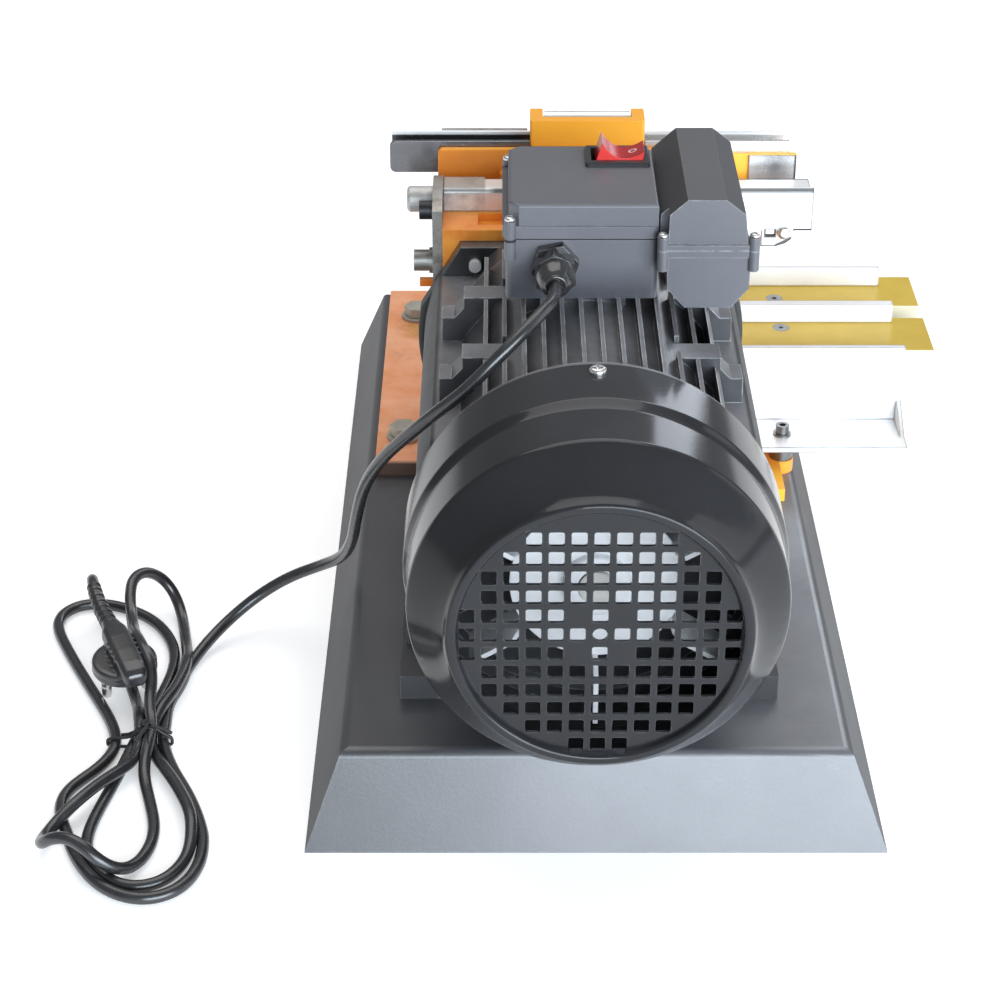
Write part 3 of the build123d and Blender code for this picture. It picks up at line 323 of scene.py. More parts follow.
def orange_paint():
    """Brushed-on orange: faded and stained on the left foot rail, yellower on the top station and at the right rail's
    near end, with painted shadow darkening the near end of the left foot rail.
    """
    m = Mat("orange_paint", (0.80, 0.25, 0.02), 0.40)
    big = m.noise(22.0, 5.0, 0.6)
    c = m.mix(m.span(big, 0.3, 0.7), (0.74, 0.22, 0.015), (0.86, 0.29, 0.028))
    x, y, z = m.axis(0), m.axis(1), m.axis(2)
    upper = m.span(z, 0.2105, 0.2125)
    c = m.mix(upper, c, m.mix(m.span(big, 0.3, 0.7), (0.95, 0.38, 0.018), (1.0, 0.46, 0.04)))
    deck = m.math("MULTIPLY", m.span(z, 0.172, 0.182), m.span(y, 0.034, 0.030))
    c = m.mix(deck, c, m.mix(m.span(m.noise(60.0, 5.0, 0.6), 0.35, 0.65), (0.88, 0.24, 0.025), (0.98, 0.40, 0.05)))
    beam_r = m.math("MULTIPLY", m.math("MULTIPLY", m.span(x, 0.058, 0.066), m.span(z, 0.1905, 0.192)), m.span(y, 0.032, 0.033))
    c = m.mix(beam_r, c, (1.0, 0.47, 0.045))
    near_r = m.math("MULTIPLY", m.span(x, 0.075, 0.079), m.span(y, 0.014, 0.0))
    c = m.mix(near_r, c, (0.98, 0.50, 0.04))
    left = m.math("MULTIPLY", m.span(x, -0.078, -0.082), m.span(z, 0.053, 0.0505))
    faded = m.mix(m.span(m.noise(46.0, 6.0, 0.7), 0.35, 0.68), (0.86, 0.33, 0.13), (0.97, 0.50, 0.29))
    dirt = m.span(m.noise(75.0, 7.0, 0.75, m.scaled(1.0, 0.55, 1.0)), 0.58, 0.70)
    faded = m.mix(m.math("MULTIPLY", dirt, 0.40), faded, (0.42, 0.22, 0.13))
    bolts = m.math("MULTIPLY", m.span(near_point(m, (-0.084, 0.172, 0.050)), 0.020, 0.011), m.span(m.noise(90.0, 6.0, 0.7), 0.38, 0.55))
    faded = m.mix(m.math("MULTIPLY", bolts, 0.75), faded, (0.50, 0.26, 0.05))
    c = m.mix(left, c, faded)
    worn = m.math("MULTIPLY", m.edges(0.0011), m.span(m.noise(160.0, 5.0, 0.7), 0.42, 0.62), True)
    chip = m.math("MULTIPLY", m.span(x, 0.060, 0.064), m.span(z, 0.200, 0.204))
    c = m.mix(m.math("MULTIPLY", worn, 0.5), c, m.mix(chip, (0.96, 0.60, 0.20), (0.30, 0.10, 0.02)))
    # Painted shadow: the near end of the left foot rail and the corner beside it made dark.
    end = m.math("MULTIPLY", m.math("MULTIPLY", m.span(x, -0.078, -0.080), m.span(y, 0.0135, 0.0105)), m.span(z, 0.053, 0.0505))
    end = m.math("MAXIMUM", end, m.math("MULTIPLY", m.math("MULTIPLY", m.span(x, -0.068, -0.0695), m.span(y, 0.016, 0.0155)), m.math("MULTIPLY", m.span(z, 0.070, 0.067), m.span(x, -0.0845, -0.0835))))
    c = m.mix(m.math("MULTIPLY", end, 0.9), c, (0.075, 0.060, 0.052))
    speck = m.span(m.noise(210.0, 6.0, 0.75), 0.66, 0.76, 0.0, 0.5)
    c = m.mix(speck, c, (0.28, 0.12, 0.04))
    r = m.math("ADD", 0.32, m.math("MULTIPLY", m.noise(50.0, 6.0, 0.7), 0.18))
    return m.out(c, r, None, m.bump(m.noise(420.0, 3.0, 0.6), 0.20, 0.0005))


def white_metal():
    """Pale satin aluminium that reads almost white, with faint long draw lines."""
    m = Mat("white_metal", (0.93, 0.93, 0.93), 0.40, metal=0.35)
    br = m.noise(1.0, 3.0, 0.6, m.scaled(30.0, 1300.0, 1300.0))
    cloud = m.noise(34.0, 6.0, 0.65)
    c = m.mix(m.span(cloud, 0.35, 0.7), (0.82, 0.82, 0.825), (0.90, 0.90, 0.895))
    c = m.mix(m.span(br, 0.55, 0.75, 0.0, 0.25), c, (0.70, 0.70, 0.71))
    # Painted shade: grey lines drawn along the edges.
    line = m.math("MULTIPLY", m.edges(0.0015, 0.004, 0.05), m.span(m.noise(45.0, 4.0, 0.6), 0.32, 0.6, 0.6, 1.0))
    c = m.mix(line, c, (0.22, 0.22, 0.225))
    return m.out(c, m.math("ADD", 0.33, m.math("MULTIPLY", br, 0.14)), None, m.bump(br, 0.05, 0.0002))


def chrome_plate():
    """Plated channel: dull and dark at the left end, bright to the right, with dirty streaks; painted shade in its
    hollow and along the edges at the right, and a painted highlight on the top of the back wall.
    """
    m = Mat("chrome_plate", (0.80, 0.80, 0.80), 0.24, metal=1.0)
    x = m.axis(0)
    br = m.noise(1.0, 3.0, 0.6, m.scaled(20.0, 1400.0, 1400.0))
    blot = m.noise(38.0, 6.0, 0.65)
    y, z = m.axis(1), m.axis(2)
    right = m.span(x, -0.004, 0.012)
    c = m.mix(right, (0.185, 0.182, 0.192), (0.86, 0.855, 0.845))
    c = m.mix(m.math("MULTIPLY", m.span(blot, 0.45, 0.70, 0.0, 0.30), m.span(right, 0.0, 1.0, 0.35, 1.0)), c, (0.26, 0.24, 0.23))
    c = m.mix(m.span(br, 0.5, 0.7, 0.0, 0.22), c, (0.36, 0.355, 0.35))
    # Painted shade: the channel's hollow made dark, less so to the right.
    hollow_shade = m.math("MULTIPLY", m.math("MULTIPLY", m.span(y, 0.0459, 0.0463), m.span(y, 0.0701, 0.0697)), m.span(z, 0.2084, 0.2078))
    c = m.mix(m.math("MULTIPLY", hollow_shade, m.span(right, 0.0, 1.0, 1.0, 0.15)), c, (0.085, 0.083, 0.088))
    # Painted highlight: a white band on the top of the back wall, with no metal sheen.
    rim = m.math("MULTIPLY", m.span(y, 0.0670, 0.0685), m.span(z, 0.2078, 0.2086))
    c = m.mix(rim, c, (0.98, 0.98, 0.97))
    # Painted shade: dark lines along the edges at the right end.
    line = m.math("MULTIPLY", m.edges(0.0009, 0.01, 0.10), m.span(x, 0.03, 0.05))
    c = m.mix(m.math("MULTIPLY", line, 0.95), c, (0.035, 0.035, 0.035))
    r = m.math("ADD", 0.17, m.math("MULTIPLY", blot, 0.22))
    mt = m.span(rim, 0.0, 1.0, 0.85, 0.0)
    return m.out(c, r, mt, m.bump(br, 0.08, 0.0002))


def rail_steel():
    """Machined rail: rough silver block at the left end with runs of orange paint, near-white ground steel to the
    right, with painted shade on its rounded edges, along the back of its top, along its edges and in the slot and gaps
    at the right end.
    """
    m = Mat("rail_steel", (0.90, 0.90, 0.89), 0.36, metal=0.4)
    x, y, z = m.axis(0), m.axis(1), m.axis(2)
    br = m.noise(1.0, 3.0, 0.6, m.scaled(24.0, 1300.0, 1300.0))
    blot = m.noise(60.0, 6.0, 0.68)
    bright = m.mix(m.span(br, 0.45, 0.7, 0.0, 0.3), (0.86, 0.86, 0.855), (0.66, 0.66, 0.66))
    rough = m.mix(m.span(blot, 0.35, 0.68), (0.40, 0.41, 0.405), (0.88, 0.905, 0.90))
    left = m.span(x, -0.0488, -0.0500)
    c = m.mix(left, bright, rough)
    top = m.math("MULTIPLY", m.span(m.normal(2), 0.45, 0.85), 0.75)
    c = m.mix(m.math("MULTIPLY", m.math("MULTIPLY", top, left), m.span(blot, 0.40, 0.62)), c, (0.22, 0.22, 0.205))
    nz = m.normal(2)
    # Painted shade: the rounded edges made dark.
    fillet_shade = m.math("MULTIPLY", m.span(nz, 0.03, 0.18), m.span(nz, 0.990, 0.94))
    fillet_shade = m.math("MULTIPLY", fillet_shade, m.span(x, -0.048, -0.044, 0.35, 0.9))
    c = m.mix(fillet_shade, c, (0.11, 0.11, 0.11))
    # Painted shade: a dark strip along the back edge of the top.
    back = m.math("MULTIPLY", m.span(y, 0.0284, 0.0290), m.span(nz, 0.6, 0.9))
    c = m.mix(m.math("MULTIPLY", back, m.span(x, 0.06, 0.07)), c, (0.12, 0.12, 0.12))
    # Painted shade: dark lines along the edges.
    line = m.math("MULTIPLY", m.edges(0.0013, 0.006, 0.06), m.span(m.noise(50.0, 4.0, 0.6), 0.3, 0.6, 0.8, 1.0))
    line = m.math("MULTIPLY", line, m.span(z, 0.1803, 0.1797, 0.80, 1.0))
    c = m.mix(line, c, (0.025, 0.025, 0.027))
    # Painted shade in the slot, under the hook and in the low band at the right end.
    low = m.math("MULTIPLY", m.math("MULTIPLY", m.span(z, 0.1797, 0.1794), m.span(z, 0.1782, 0.1784)), m.span(x, 0.1030, 0.1036))
    low = m.math("MAXIMUM", low, m.math("MULTIPLY", m.span(x, 0.1117, 0.1121), 0.52))
    curve = m.math("ADD", m.math("MULTIPLY", z, 0.89), m.math("MULTIPLY", x, -0.46))
    hook = m.math("MAXIMUM", m.math("MULTIPLY", m.span(curve, 0.1090, 0.1087), m.span(x, 0.0940, 0.0950)), m.math("MULTIPLY", m.span(z, 0.1708, 0.1705), m.span(x, 0.0960, 0.0950)))
    hook = m.math("MULTIPLY", hook, m.span(z, 0.1784, 0.1782))
    slot = m.math("MULTIPLY", m.math("MULTIPLY", m.span(x, 0.0886, 0.0892), m.span(x, 0.0954, 0.0948)), m.math("MULTIPLY", m.span(z, 0.1744, 0.1750), m.span(z, 0.1800, 0.1790)))
    ends = m.math("MULTIPLY", m.math("MAXIMUM", m.math("MAXIMUM", low, m.math("MULTIPLY", hook, 0.9)), m.math("MULTIPLY", slot, 0.85)), m.span(x, 0.080, 0.086))
    c = m.mix(ends, c, (0.030, 0.030, 0.032))
    drip = m.noise(1.0, 4.0, 0.6, m.scaled(150.0, 60.0, 46.0))
    run = m.math("MULTIPLY", m.span(drip, 0.60, 0.66), m.math("MULTIPLY", left, m.span(z, 0.1885, 0.199)))
    c = m.mix(m.math("MULTIPLY", run, 0.9), c, (0.80, 0.30, 0.05))
    mt = m.span(run, 0.0, 1.0, 0.4, 0.0)
    r = m.math("ADD", 0.28, m.math("MULTIPLY", blot, 0.20))
    return m.out(c, r, mt, m.bump(m.noise(420.0, 4.0, 0.65), 0.22, 0.0004))


def wear_chrome():
    """Polished wear plate with a dark cloudy middle and a dark outline of painted shade."""
    m = Mat("wear_chrome", (0.70, 0.70, 0.70), 0.28, metal=0.6)
    blot = m.noise(90.0, 5.0, 0.6)
    d = near_point(m, (0.0955, 0.040, 0.2030))
    c = m.mix(m.span(m.math("ADD", d, m.math("MULTIPLY", blot, 0.010)), 0.005, 0.0195), (0.16, 0.16, 0.165), (0.62, 0.615, 0.61))
    # Painted shade: a dark outline along the edges and past x = 105 mm.
    line = m.math("MAXIMUM", m.edges(0.0012, 0.01, 0.10), m.span(m.axis(0), 0.1044, 0.1050))
    c = m.mix(line, c, (0.07, 0.07, 0.07))
    return m.out(c, m.math("ADD", 0.16, m.math("MULTIPLY", blot, 0.2)), None, m.bump(m.noise(700.0, 3.0), 0.08, 0.0002))


def rod_steel():
    """Stop rod: dull pale grey with a pitted skin."""
    m = Mat("rod_steel", (0.55, 0.54, 0.53), 0.5, metal=0.6)
    pit = m.noise(300.0, 6.0, 0.7)
    blot = m.noise(90.0, 5.0, 0.6)
    c = m.mix(m.span(blot, 0.35, 0.68), (0.46, 0.45, 0.43), (0.66, 0.65, 0.63))
    c = m.mix(m.span(pit, 0.58, 0.72, 0.0, 0.6), c, (0.22, 0.20, 0.18))
    return m.out(c, m.math("ADD", 0.42, m.math("MULTIPLY", blot, 0.16)), None, m.bump(pit, 0.5, 0.0006))


def make_materials():
    M = {}
    M["base_paint"] = base_paint()
    M["cowl_black"] = cowl_paint()
    M["motor_black"] = motor_paint("motor_black", (0.047, 0.047, 0.052), (0.19, 0.19, 0.20), (0.60, 0.60, 0.61), 0.30)
    M["flange_black"] = motor_paint("flange_black", (0.017, 0.017, 0.019), (0.10, 0.10, 0.10), (0.42, 0.42, 0.42), 0.28)
    # gland_gloss: its pale brownish edges are partly worn rims, partly painted highlight on the nut's edges.
    M["gland_gloss"] = paint("gland_gloss", (0.022, 0.021, 0.021), 0.20, grain=900.0, grain_amt=0.05, var=0.2, edge=(0.20, 0.19, 0.18), edge_amt=0.7, spec=0.75, smudge=0.06, blotch=90.0)
    M["screw_bright"] = metal("screw_bright", (0.88, 0.88, 0.87), 0.34, (1.0, 1.0, 1.0), 0.08)
    M["screw_bright"].node_tree.nodes["Principled BSDF"].inputs["Metallic"].default_value = 0.15
    M["screw_grey"] = metal("screw_grey", (0.24, 0.24, 0.24), 0.36, (1.0, 1.0, 1.0), 0.10, stain=(0.10, 0.09, 0.08), stain_amt=0.5, scale=200.0)
    M["screw_dull"] = metal("screw_dull", (0.26, 0.26, 0.265), 0.40, (1.0, 1.0, 1.0), 0.08, stain=(0.12, 0.11, 0.10), stain_amt=0.4, scale=200.0)
    M["screw_dull"].node_tree.nodes["Principled BSDF"].inputs["Metallic"].default_value = 0.4
    M["orange_paint"] = orange_paint()
    M["box_plastic"] = paint("box_plastic", (0.101, 0.102, 0.114), 0.44, grain=2600.0, grain_amt=0.14, var=0.07, edge=(0.30, 0.30, 0.33), edge_amt=0.35, spec=0.7, smudge=0.05, blotch=20.0)
    M["cap_plastic"] = moulding("cap_plastic", False)
    M["case_plastic"] = moulding("case_plastic", True)
    M["switch_black"] = paint("switch_black", (0.020, 0.020, 0.022), 0.34, grain=2200.0, grain_amt=0.10, var=0.12, smudge=0.05, blotch=40.0)
    M["board_plastic"] = paint("board_plastic", (0.30, 0.19, 0.10), 0.5, grain=1500.0, grain_amt=0.1, var=0.12, smudge=0.06, blotch=60.0)
    M["gasket_rubber"] = paint("gasket_rubber", (0.012, 0.012, 0.012), 0.7, grain=1800.0, grain_amt=0.2, var=0.15, smudge=0.06, blotch=60.0)
    M["fan_plastic"] = paint("fan_plastic", (0.96, 0.96, 0.98), 0.40, grain=1200.0, grain_amt=0.06, var=0.03, smudge=0.06, blotch=40.0)
    M["polished_steel"] = metal("polished_steel", (0.86, 0.85, 0.83), 0.36, (0.02, 1.0, 1.0), 0.10)
    M["white_metal"] = white_metal()
    M["chrome_plate"] = chrome_plate()
    M["dark_steel"] = metal("dark_steel", (0.055, 0.055, 0.058), 0.44, (1.0, 1.0, 1.0), 0.08)
    M["zinc"] = metal("zinc", (0.74, 0.74, 0.72), 0.30, (1.0, 1.0, 1.0), 0.06, stain=(0.30, 0.24, 0.17), stain_amt=0.25, scale=160.0)
    M["bare_sheet"] = metal("bare_sheet", (0.46, 0.44, 0.42), 0.42, (0.03, 1.0, 1.0), 0.10, stain=(0.24, 0.15, 0.09), stain_amt=0.5)
    M["core_steel"] = metal("core_steel", (0.32, 0.32, 0.33), 0.45, (1.0, 0.02, 1.0), 0.1)
    M["cap_can"] = metal("cap_can", (0.78, 0.78, 0.78), 0.3, (1.0, 1.0, 0.02), 0.05)
    M["bearing_steel"] = metal("bearing_steel", (0.60, 0.60, 0.61), 0.22, (1.0, 1.0, 1.0), 0.04)
    M["cutter_steel"] = metal("cutter_steel", (0.55, 0.55, 0.56), 0.26, (1.0, 1.0, 1.0), 0.10, stain=(0.30, 0.20, 0.12), stain_amt=0.3)
    M["tie_wire"] = paint("tie_wire", (0.012, 0.012, 0.012), 0.45, grain=1800.0, grain_amt=0.2, var=0.12, smudge=0.06, blotch=80.0)
    M["rail_steel"] = rail_steel()
    M["rod_steel"] = rod_steel()
    M["wear_chrome"] = wear_chrome()
    M["grimy_steel"] = metal("grimy_steel", (0.36, 0.35, 0.33), 0.46, (1.0, 1.0, 0.03), 0.16, stain=(0.10, 0.085, 0.07), stain_amt=0.7, scale=70.0)
    M["dull_bolt"] = metal("dull_bolt", (0.44, 0.44, 0.385), 0.52, (1.0, 1.0, 1.0), 0.12, stain=(0.30, 0.19, 0.09), stain_amt=0.55, scale=190.0)
    M["dull_bolt"].node_tree.nodes["Principled BSDF"].inputs["Metallic"].default_value = 0.35

    # insulated copper windings: lacquered strands that run round the bore
    m = Mat("copper_wire", (0.55, 0.18, 0.06), 0.3, metal=0.9)
    w = m.node("ShaderNodeTexWave", wave_type="RINGS", rings_direction="Y")
    m.put(w.inputs["Vector"], m.P)
    m.put(w.inputs["Scale"], 220.0)
    m.put(w.inputs["Distortion"], 2.0)
    M["copper_wire"] = m.out(m.mix(w.outputs[1], (0.22, 0.06, 0.02), (0.70, 0.26, 0.09)), 0.32, None, m.bump(w.outputs[1], 0.5, 0.001))

    # yellow passivated plate: soft sheen with faint cloudy tints
    m = Mat("gold_plate", (0.62, 0.45, 0.11), 0.46, metal=0.1)
    c = m.mix(m.span(m.noise(26.0, 4.0, 0.6), 0.35, 0.68), (0.525, 0.355, 0.022), (0.630, 0.430, 0.036))
    c = m.mix(m.span(m.noise(70.0, 5.0, 0.6, m.scaled(0.3, 1.0, 1.0)), 0.55, 0.75, 0.0, 0.3), c, (0.45, 0.30, 0.025))
    br = m.noise(1.0, 2.0, 0.5, m.scaled(60.0, 1500.0, 1500.0))
    # Painted light: faces turned to the front made pale cream.
    c = m.mix(m.span(m.normal(1), -0.4, -0.7), c, (0.62, 0.59, 0.45))
    M["gold_plate"] = m.out(c, m.math("ADD", 0.40, m.math("MULTIPLY", br, 0.12)), None, m.bump(br, 0.05, 0.0002))

    # red rocker: translucent-looking glossy moulding
    m = Mat("switch_red", (0.45, 0.014, 0.016), 0.30, spec=0.25, coat=0.06, coat_rough=0.12)
    c = m.mix(m.span(m.noise(120.0, 4.0, 0.6), 0.35, 0.7), (0.36, 0.010, 0.013), (0.50, 0.020, 0.020))
    # Painted light: front faces made lighter red.
    c = m.mix(m.span(m.normal(1), -0.35, -0.75), c, (0.60, 0.040, 0.034))
    ring = near_plan(m, 0.0178, -0.0642)
    mark = m.math("MULTIPLY", m.math("MULTIPLY", m.span(ring, 0.00120, 0.00138), m.span(ring, 0.00195, 0.00178)), m.span(m.normal(2), 0.4, 0.6))
    c = m.mix(mark, c, (0.88, 0.80, 0.78))
    M["switch_red"] = m.out(c, m.math("ADD", 0.20, m.math("MULTIPLY", m.noise(300.0, 4.0), 0.12)), None, m.bump(m.noise(900.0, 2.0), 0.04, 0.0002))

    # soft black cable jacket
    m = Mat("cord_black", (0.016, 0.016, 0.0175), 0.28, spec=0.75)
    c = m.mix(m.span(m.noise(90.0, 5.0, 0.6), 0.35, 0.7), (0.013, 0.013, 0.0145), (0.025, 0.025, 0.027))
    c = m.mix(m.span(m.noise(420.0, 4.0, 0.7), 0.62, 0.8, 0.0, 0.5), c, (0.06, 0.06, 0.062))
    M["cord_black"] = m.out(c, m.math("ADD", 0.19, m.math("MULTIPLY", m.noise(120.0, 4.0), 0.16)), None, m.bump(m.noise(1500.0, 3.0), 0.06, 0.0003))
    return M


M = make_materials()

def finish_node(name, material):
    """Gives a carried-over node its procedural finish."""
    o = N[name]
    o.data.materials.clear()
    o.data.materials.append(material)


for n, o in N.items():
    slot = o.material_slots[0].material.name.split(".")[0] if o.material_slots else "base_paint"
    finish_node(n, M[slot])
finish_node("front_guide_rail", M["rail_steel"])
finish_node("stop_rod", M["rod_steel"])
finish_node("side_plate", M["grimy_steel"])
finish_node("side_plate_screw", M["grimy_steel"])
finish_node("work_head_bolts", M["dull_bolt"])
finish_node("wear_plate", M["wear_chrome"])
finish_node("front_flange_shield", M["flange_black"])
finish_node("flange_screws", M["screw_bright"])
finish_node("bracket_fasteners", M["screw_grey"])
finish_node("trough_screws", M["screw_dull"])
finish_node("capacitor_case", M["cap_plastic"])
finish_node("capacitor_lid", M["cap_plastic"])
finish_node("terminal_box", M["case_plastic"])
finish_node("gland_body", M["gland_gloss"])
finish_node("gland_nut", M["gland_gloss"])


def soften(name, width, segments=2, angle=40.0):
    """Rounds a carried-over node's sharp edges: joins its split corners, merges flat facets, then bevels."""
    o = N[name]
    w = o.modifiers.new("join", "WELD")
    w.merge_threshold = 0.00001
    d = o.modifiers.new("flats", "DECIMATE")
    d.decimate_type = "DISSOLVE"
    d.angle_limit = math.radians(0.4)
    b = o.modifiers.new("edges", "BEVEL")
    b.width = width * MM
    b.segments = segments
    b.limit_method = "ANGLE"
    b.angle_limit = math.radians(angle)
    b.miter_outer = "MITER_ARC"
    s = o.modifiers.new("shade", "NODES")
    s.node_group = SMOOTH
    wn = o.modifiers.new("normals", "WEIGHTED_NORMAL")
    wn.mode = "FACE_AREA_WITH_ANGLE"
    wn.keep_sharp = True
    wn.weight = 80


def smooth_group(angle):
    """Geometry nodes: every face smooth, edges sharper than the angle stay hard."""
    g = bpy.data.node_groups.new("shade_smooth", "GeometryNodeTree")
    g.interface.new_socket("Geometry", in_out="INPUT", socket_type="NodeSocketGeometry")
    g.interface.new_socket("Geometry", in_out="OUTPUT", socket_type="NodeSocketGeometry")
    i = g.nodes.new("NodeGroupInput")
    o = g.nodes.new("NodeGroupOutput")
    f = g.nodes.new("GeometryNodeSetShadeSmooth")
    f.domain = "FACE"
    e = g.nodes.new("GeometryNodeSetShadeSmooth")
    e.domain = "EDGE"
    a = g.nodes.new("GeometryNodeInputMeshEdgeAngle")
    c = g.nodes.new("FunctionNodeCompare")
    c.data_type = "FLOAT"
    c.operation = "GREATER_THAN"
    c.inputs[1].default_value = math.radians(angle)
    g.links.new(i.outputs[0], f.inputs["Geometry"])
    f.inputs["Shade Smooth"].default_value = True
    g.links.new(f.outputs[0], e.inputs["Geometry"])
    g.links.new(a.outputs["Unsigned Angle"], c.inputs[0])
    g.links.new(c.outputs[0], e.inputs["Selection"])
    e.inputs["Shade Smooth"].default_value = False
    g.links.new(e.outputs[0], o.inputs[0])
    return g


SMOOTH = smooth_group(46.0)

SOFT = (("motor_housing", 0.45, 2), ("motor_feet", 0.8, 2), ("motor_foot_bars", 0.8, 2), ("front_flange_shield", 0.6, 2), ("terminal_box", 0.7, 3), ("terminal_lid", 0.55, 2),
        ("capacitor_case", 0.9, 3), ("capacitor_lid", 0.8, 3), ("work_head", 0.9, 2), ("side_plate", 0.5, 2), ("guide_beam", 0.7, 2), ("hold_down_bracket", 0.9, 3),
        ("guide_channel", 0.35, 2), ("wear_plate", 0.4, 2), ("backing_strip", 0.3, 2), ("trough_plates", 0.5, 2), ("trough_fences", 0.6, 2), ("support_bracket", 0.6, 2),
        ("trough_carrier", 0.6, 2), ("front_guide_rail", 0.4, 2), ("switch_rocker", 0.5, 3), ("fan_cowl", 0.25, 2), ("cooling_fan", 0.4, 2), ("gland_body", 0.4, 2), ("gland_nut", 0.4, 2),
        ("motor_foot_bolts", 0.4, 2), ("work_head_bolts", 0.4, 2), ("cover_screws", 0.15, 1), ("cowl_screws", 0.15, 1), ("bracket_fasteners", 0.3, 2), ("notch_cutter", 0.3, 1),
        ("groove_cutter", 0.3, 1), ("arbor_nut", 0.6, 2))
for n, w, k in SOFT:
    soften(n, w, k, 30.0 if n == "capacitor_lid" else 40.0)


# ------------------------------------------------------------------ mesh helpers
def mesh_obj(name, verts, faces, material=None, smooth=True):
    me = bpy.data.meshes.new(name)
    me.from_pydata([tuple(v) for v in verts], [], [tuple(f) for f in faces])
    me.validate()
    o = bpy.data.objects.new(name, me)
    scene.collection.objects.link(o)
    for p in me.polygons:
        p.use_smooth = smooth
    if material:
        me.materials.append(material)
    return o


def rings_mesh(rings, closed=True, caps=True):
    """Verts and faces of a skin over rings of points, each ring with the same count."""
    n = len(rings[0])
    v = [p for r in rings for p in r]
    f = []
    for i in range(len(rings) - 1):
        for j in range(n if closed else n - 1):
            a, b = i * n + j, i * n + (j + 1) % n
            f.append((a, b, b + n, a + n))
    if caps:
        f.append(tuple(range(n - 1, -1, -1)))
        f.append(tuple((len(rings) - 1) * n + k for k in range(n)))
    return v, f


def tube_rings(path, radii, sides=20):
    """Rings of a tube round a line of points, carried along without twist."""
    out = []
    up = None
    for i, p in enumerate(path):
        a = path[max(0, i - 1)]
        b = path[min(len(path) - 1, i + 1)]
        t = (b - a).normalized()
        if up is None:
            up = t.cross(Vector((0, 0, 1)))
            if up.length < 1e-4:
                up = t.cross(Vector((1, 0, 0)))
        up = (up - t * up.dot(t)).normalized()
        side = t.cross(up)
        r = radii[i]
        out.append([p + (up * math.cos(2 * math.pi * k / sides) + side * math.sin(2 * math.pi * k / sides)) * r for k in range(sides)])
    return out


def moulded(name, shells, voxel, material, smooth=4):
    """One skin round several overlapping closed shells, with soft blends where they meet."""
    v, f = [], []
    for sv, sf in shells:
        k = len(v)
        v += list(sv)
        f += [tuple(i + k for i in q) for q in sf]
    o = mesh_obj(name, v, f)
    bm = bmesh.new()
    bm.from_mesh(o.data)
    bmesh.ops.recalc_face_normals(bm, faces=bm.faces)
    bm.to_mesh(o.data)
    bm.free()
    r = o.modifiers.new("skin", "REMESH")
    r.mode = "VOXEL"
    r.voxel_size = voxel
    s = o.modifiers.new("blend", "SMOOTH")
    s.factor, s.iterations = 0.5, smooth
    dg = bpy.context.evaluated_depsgraph_get()
    me = bpy.data.meshes.new_from_object(o.evaluated_get(dg))
    old = o.data
    o.modifiers.clear()
    o.data = me
    bpy.data.meshes.remove(old)
    me.name = name
    for p in me.polygons:
        p.use_smooth = True
    me.materials.clear()
    me.materials.append(material)
    return o


# ------------------------------------------------------------------ mains cord
ROUTE = [(-18.0, -142.0, 222.0), (-18.4, -154.6, 222.0), (-25.0, -168.0, 221.0), (-34.4, -178.6, 215.2), (-44.9, -185.0, 206.8), (-56.6, -187.0, 194.6), (-69.4, -183.2, 182.0),
         (-82.0, -174.7, 166.4), (-94.2, -161.7, 148.0), (-103.4, -146.0, 125.0), (-108.2, -128.0, 98.8), (-111.8, -109.5, 74.0), (-118.4, -90.6, 54.0), (-130.6, -77.0, 41.0),
         (-146.0, -70.0, 30.6), (-161.4, -70.2, 20.4), (-175.4, -77.6, 11.4), (-186.6, -91.0, 5.2)]
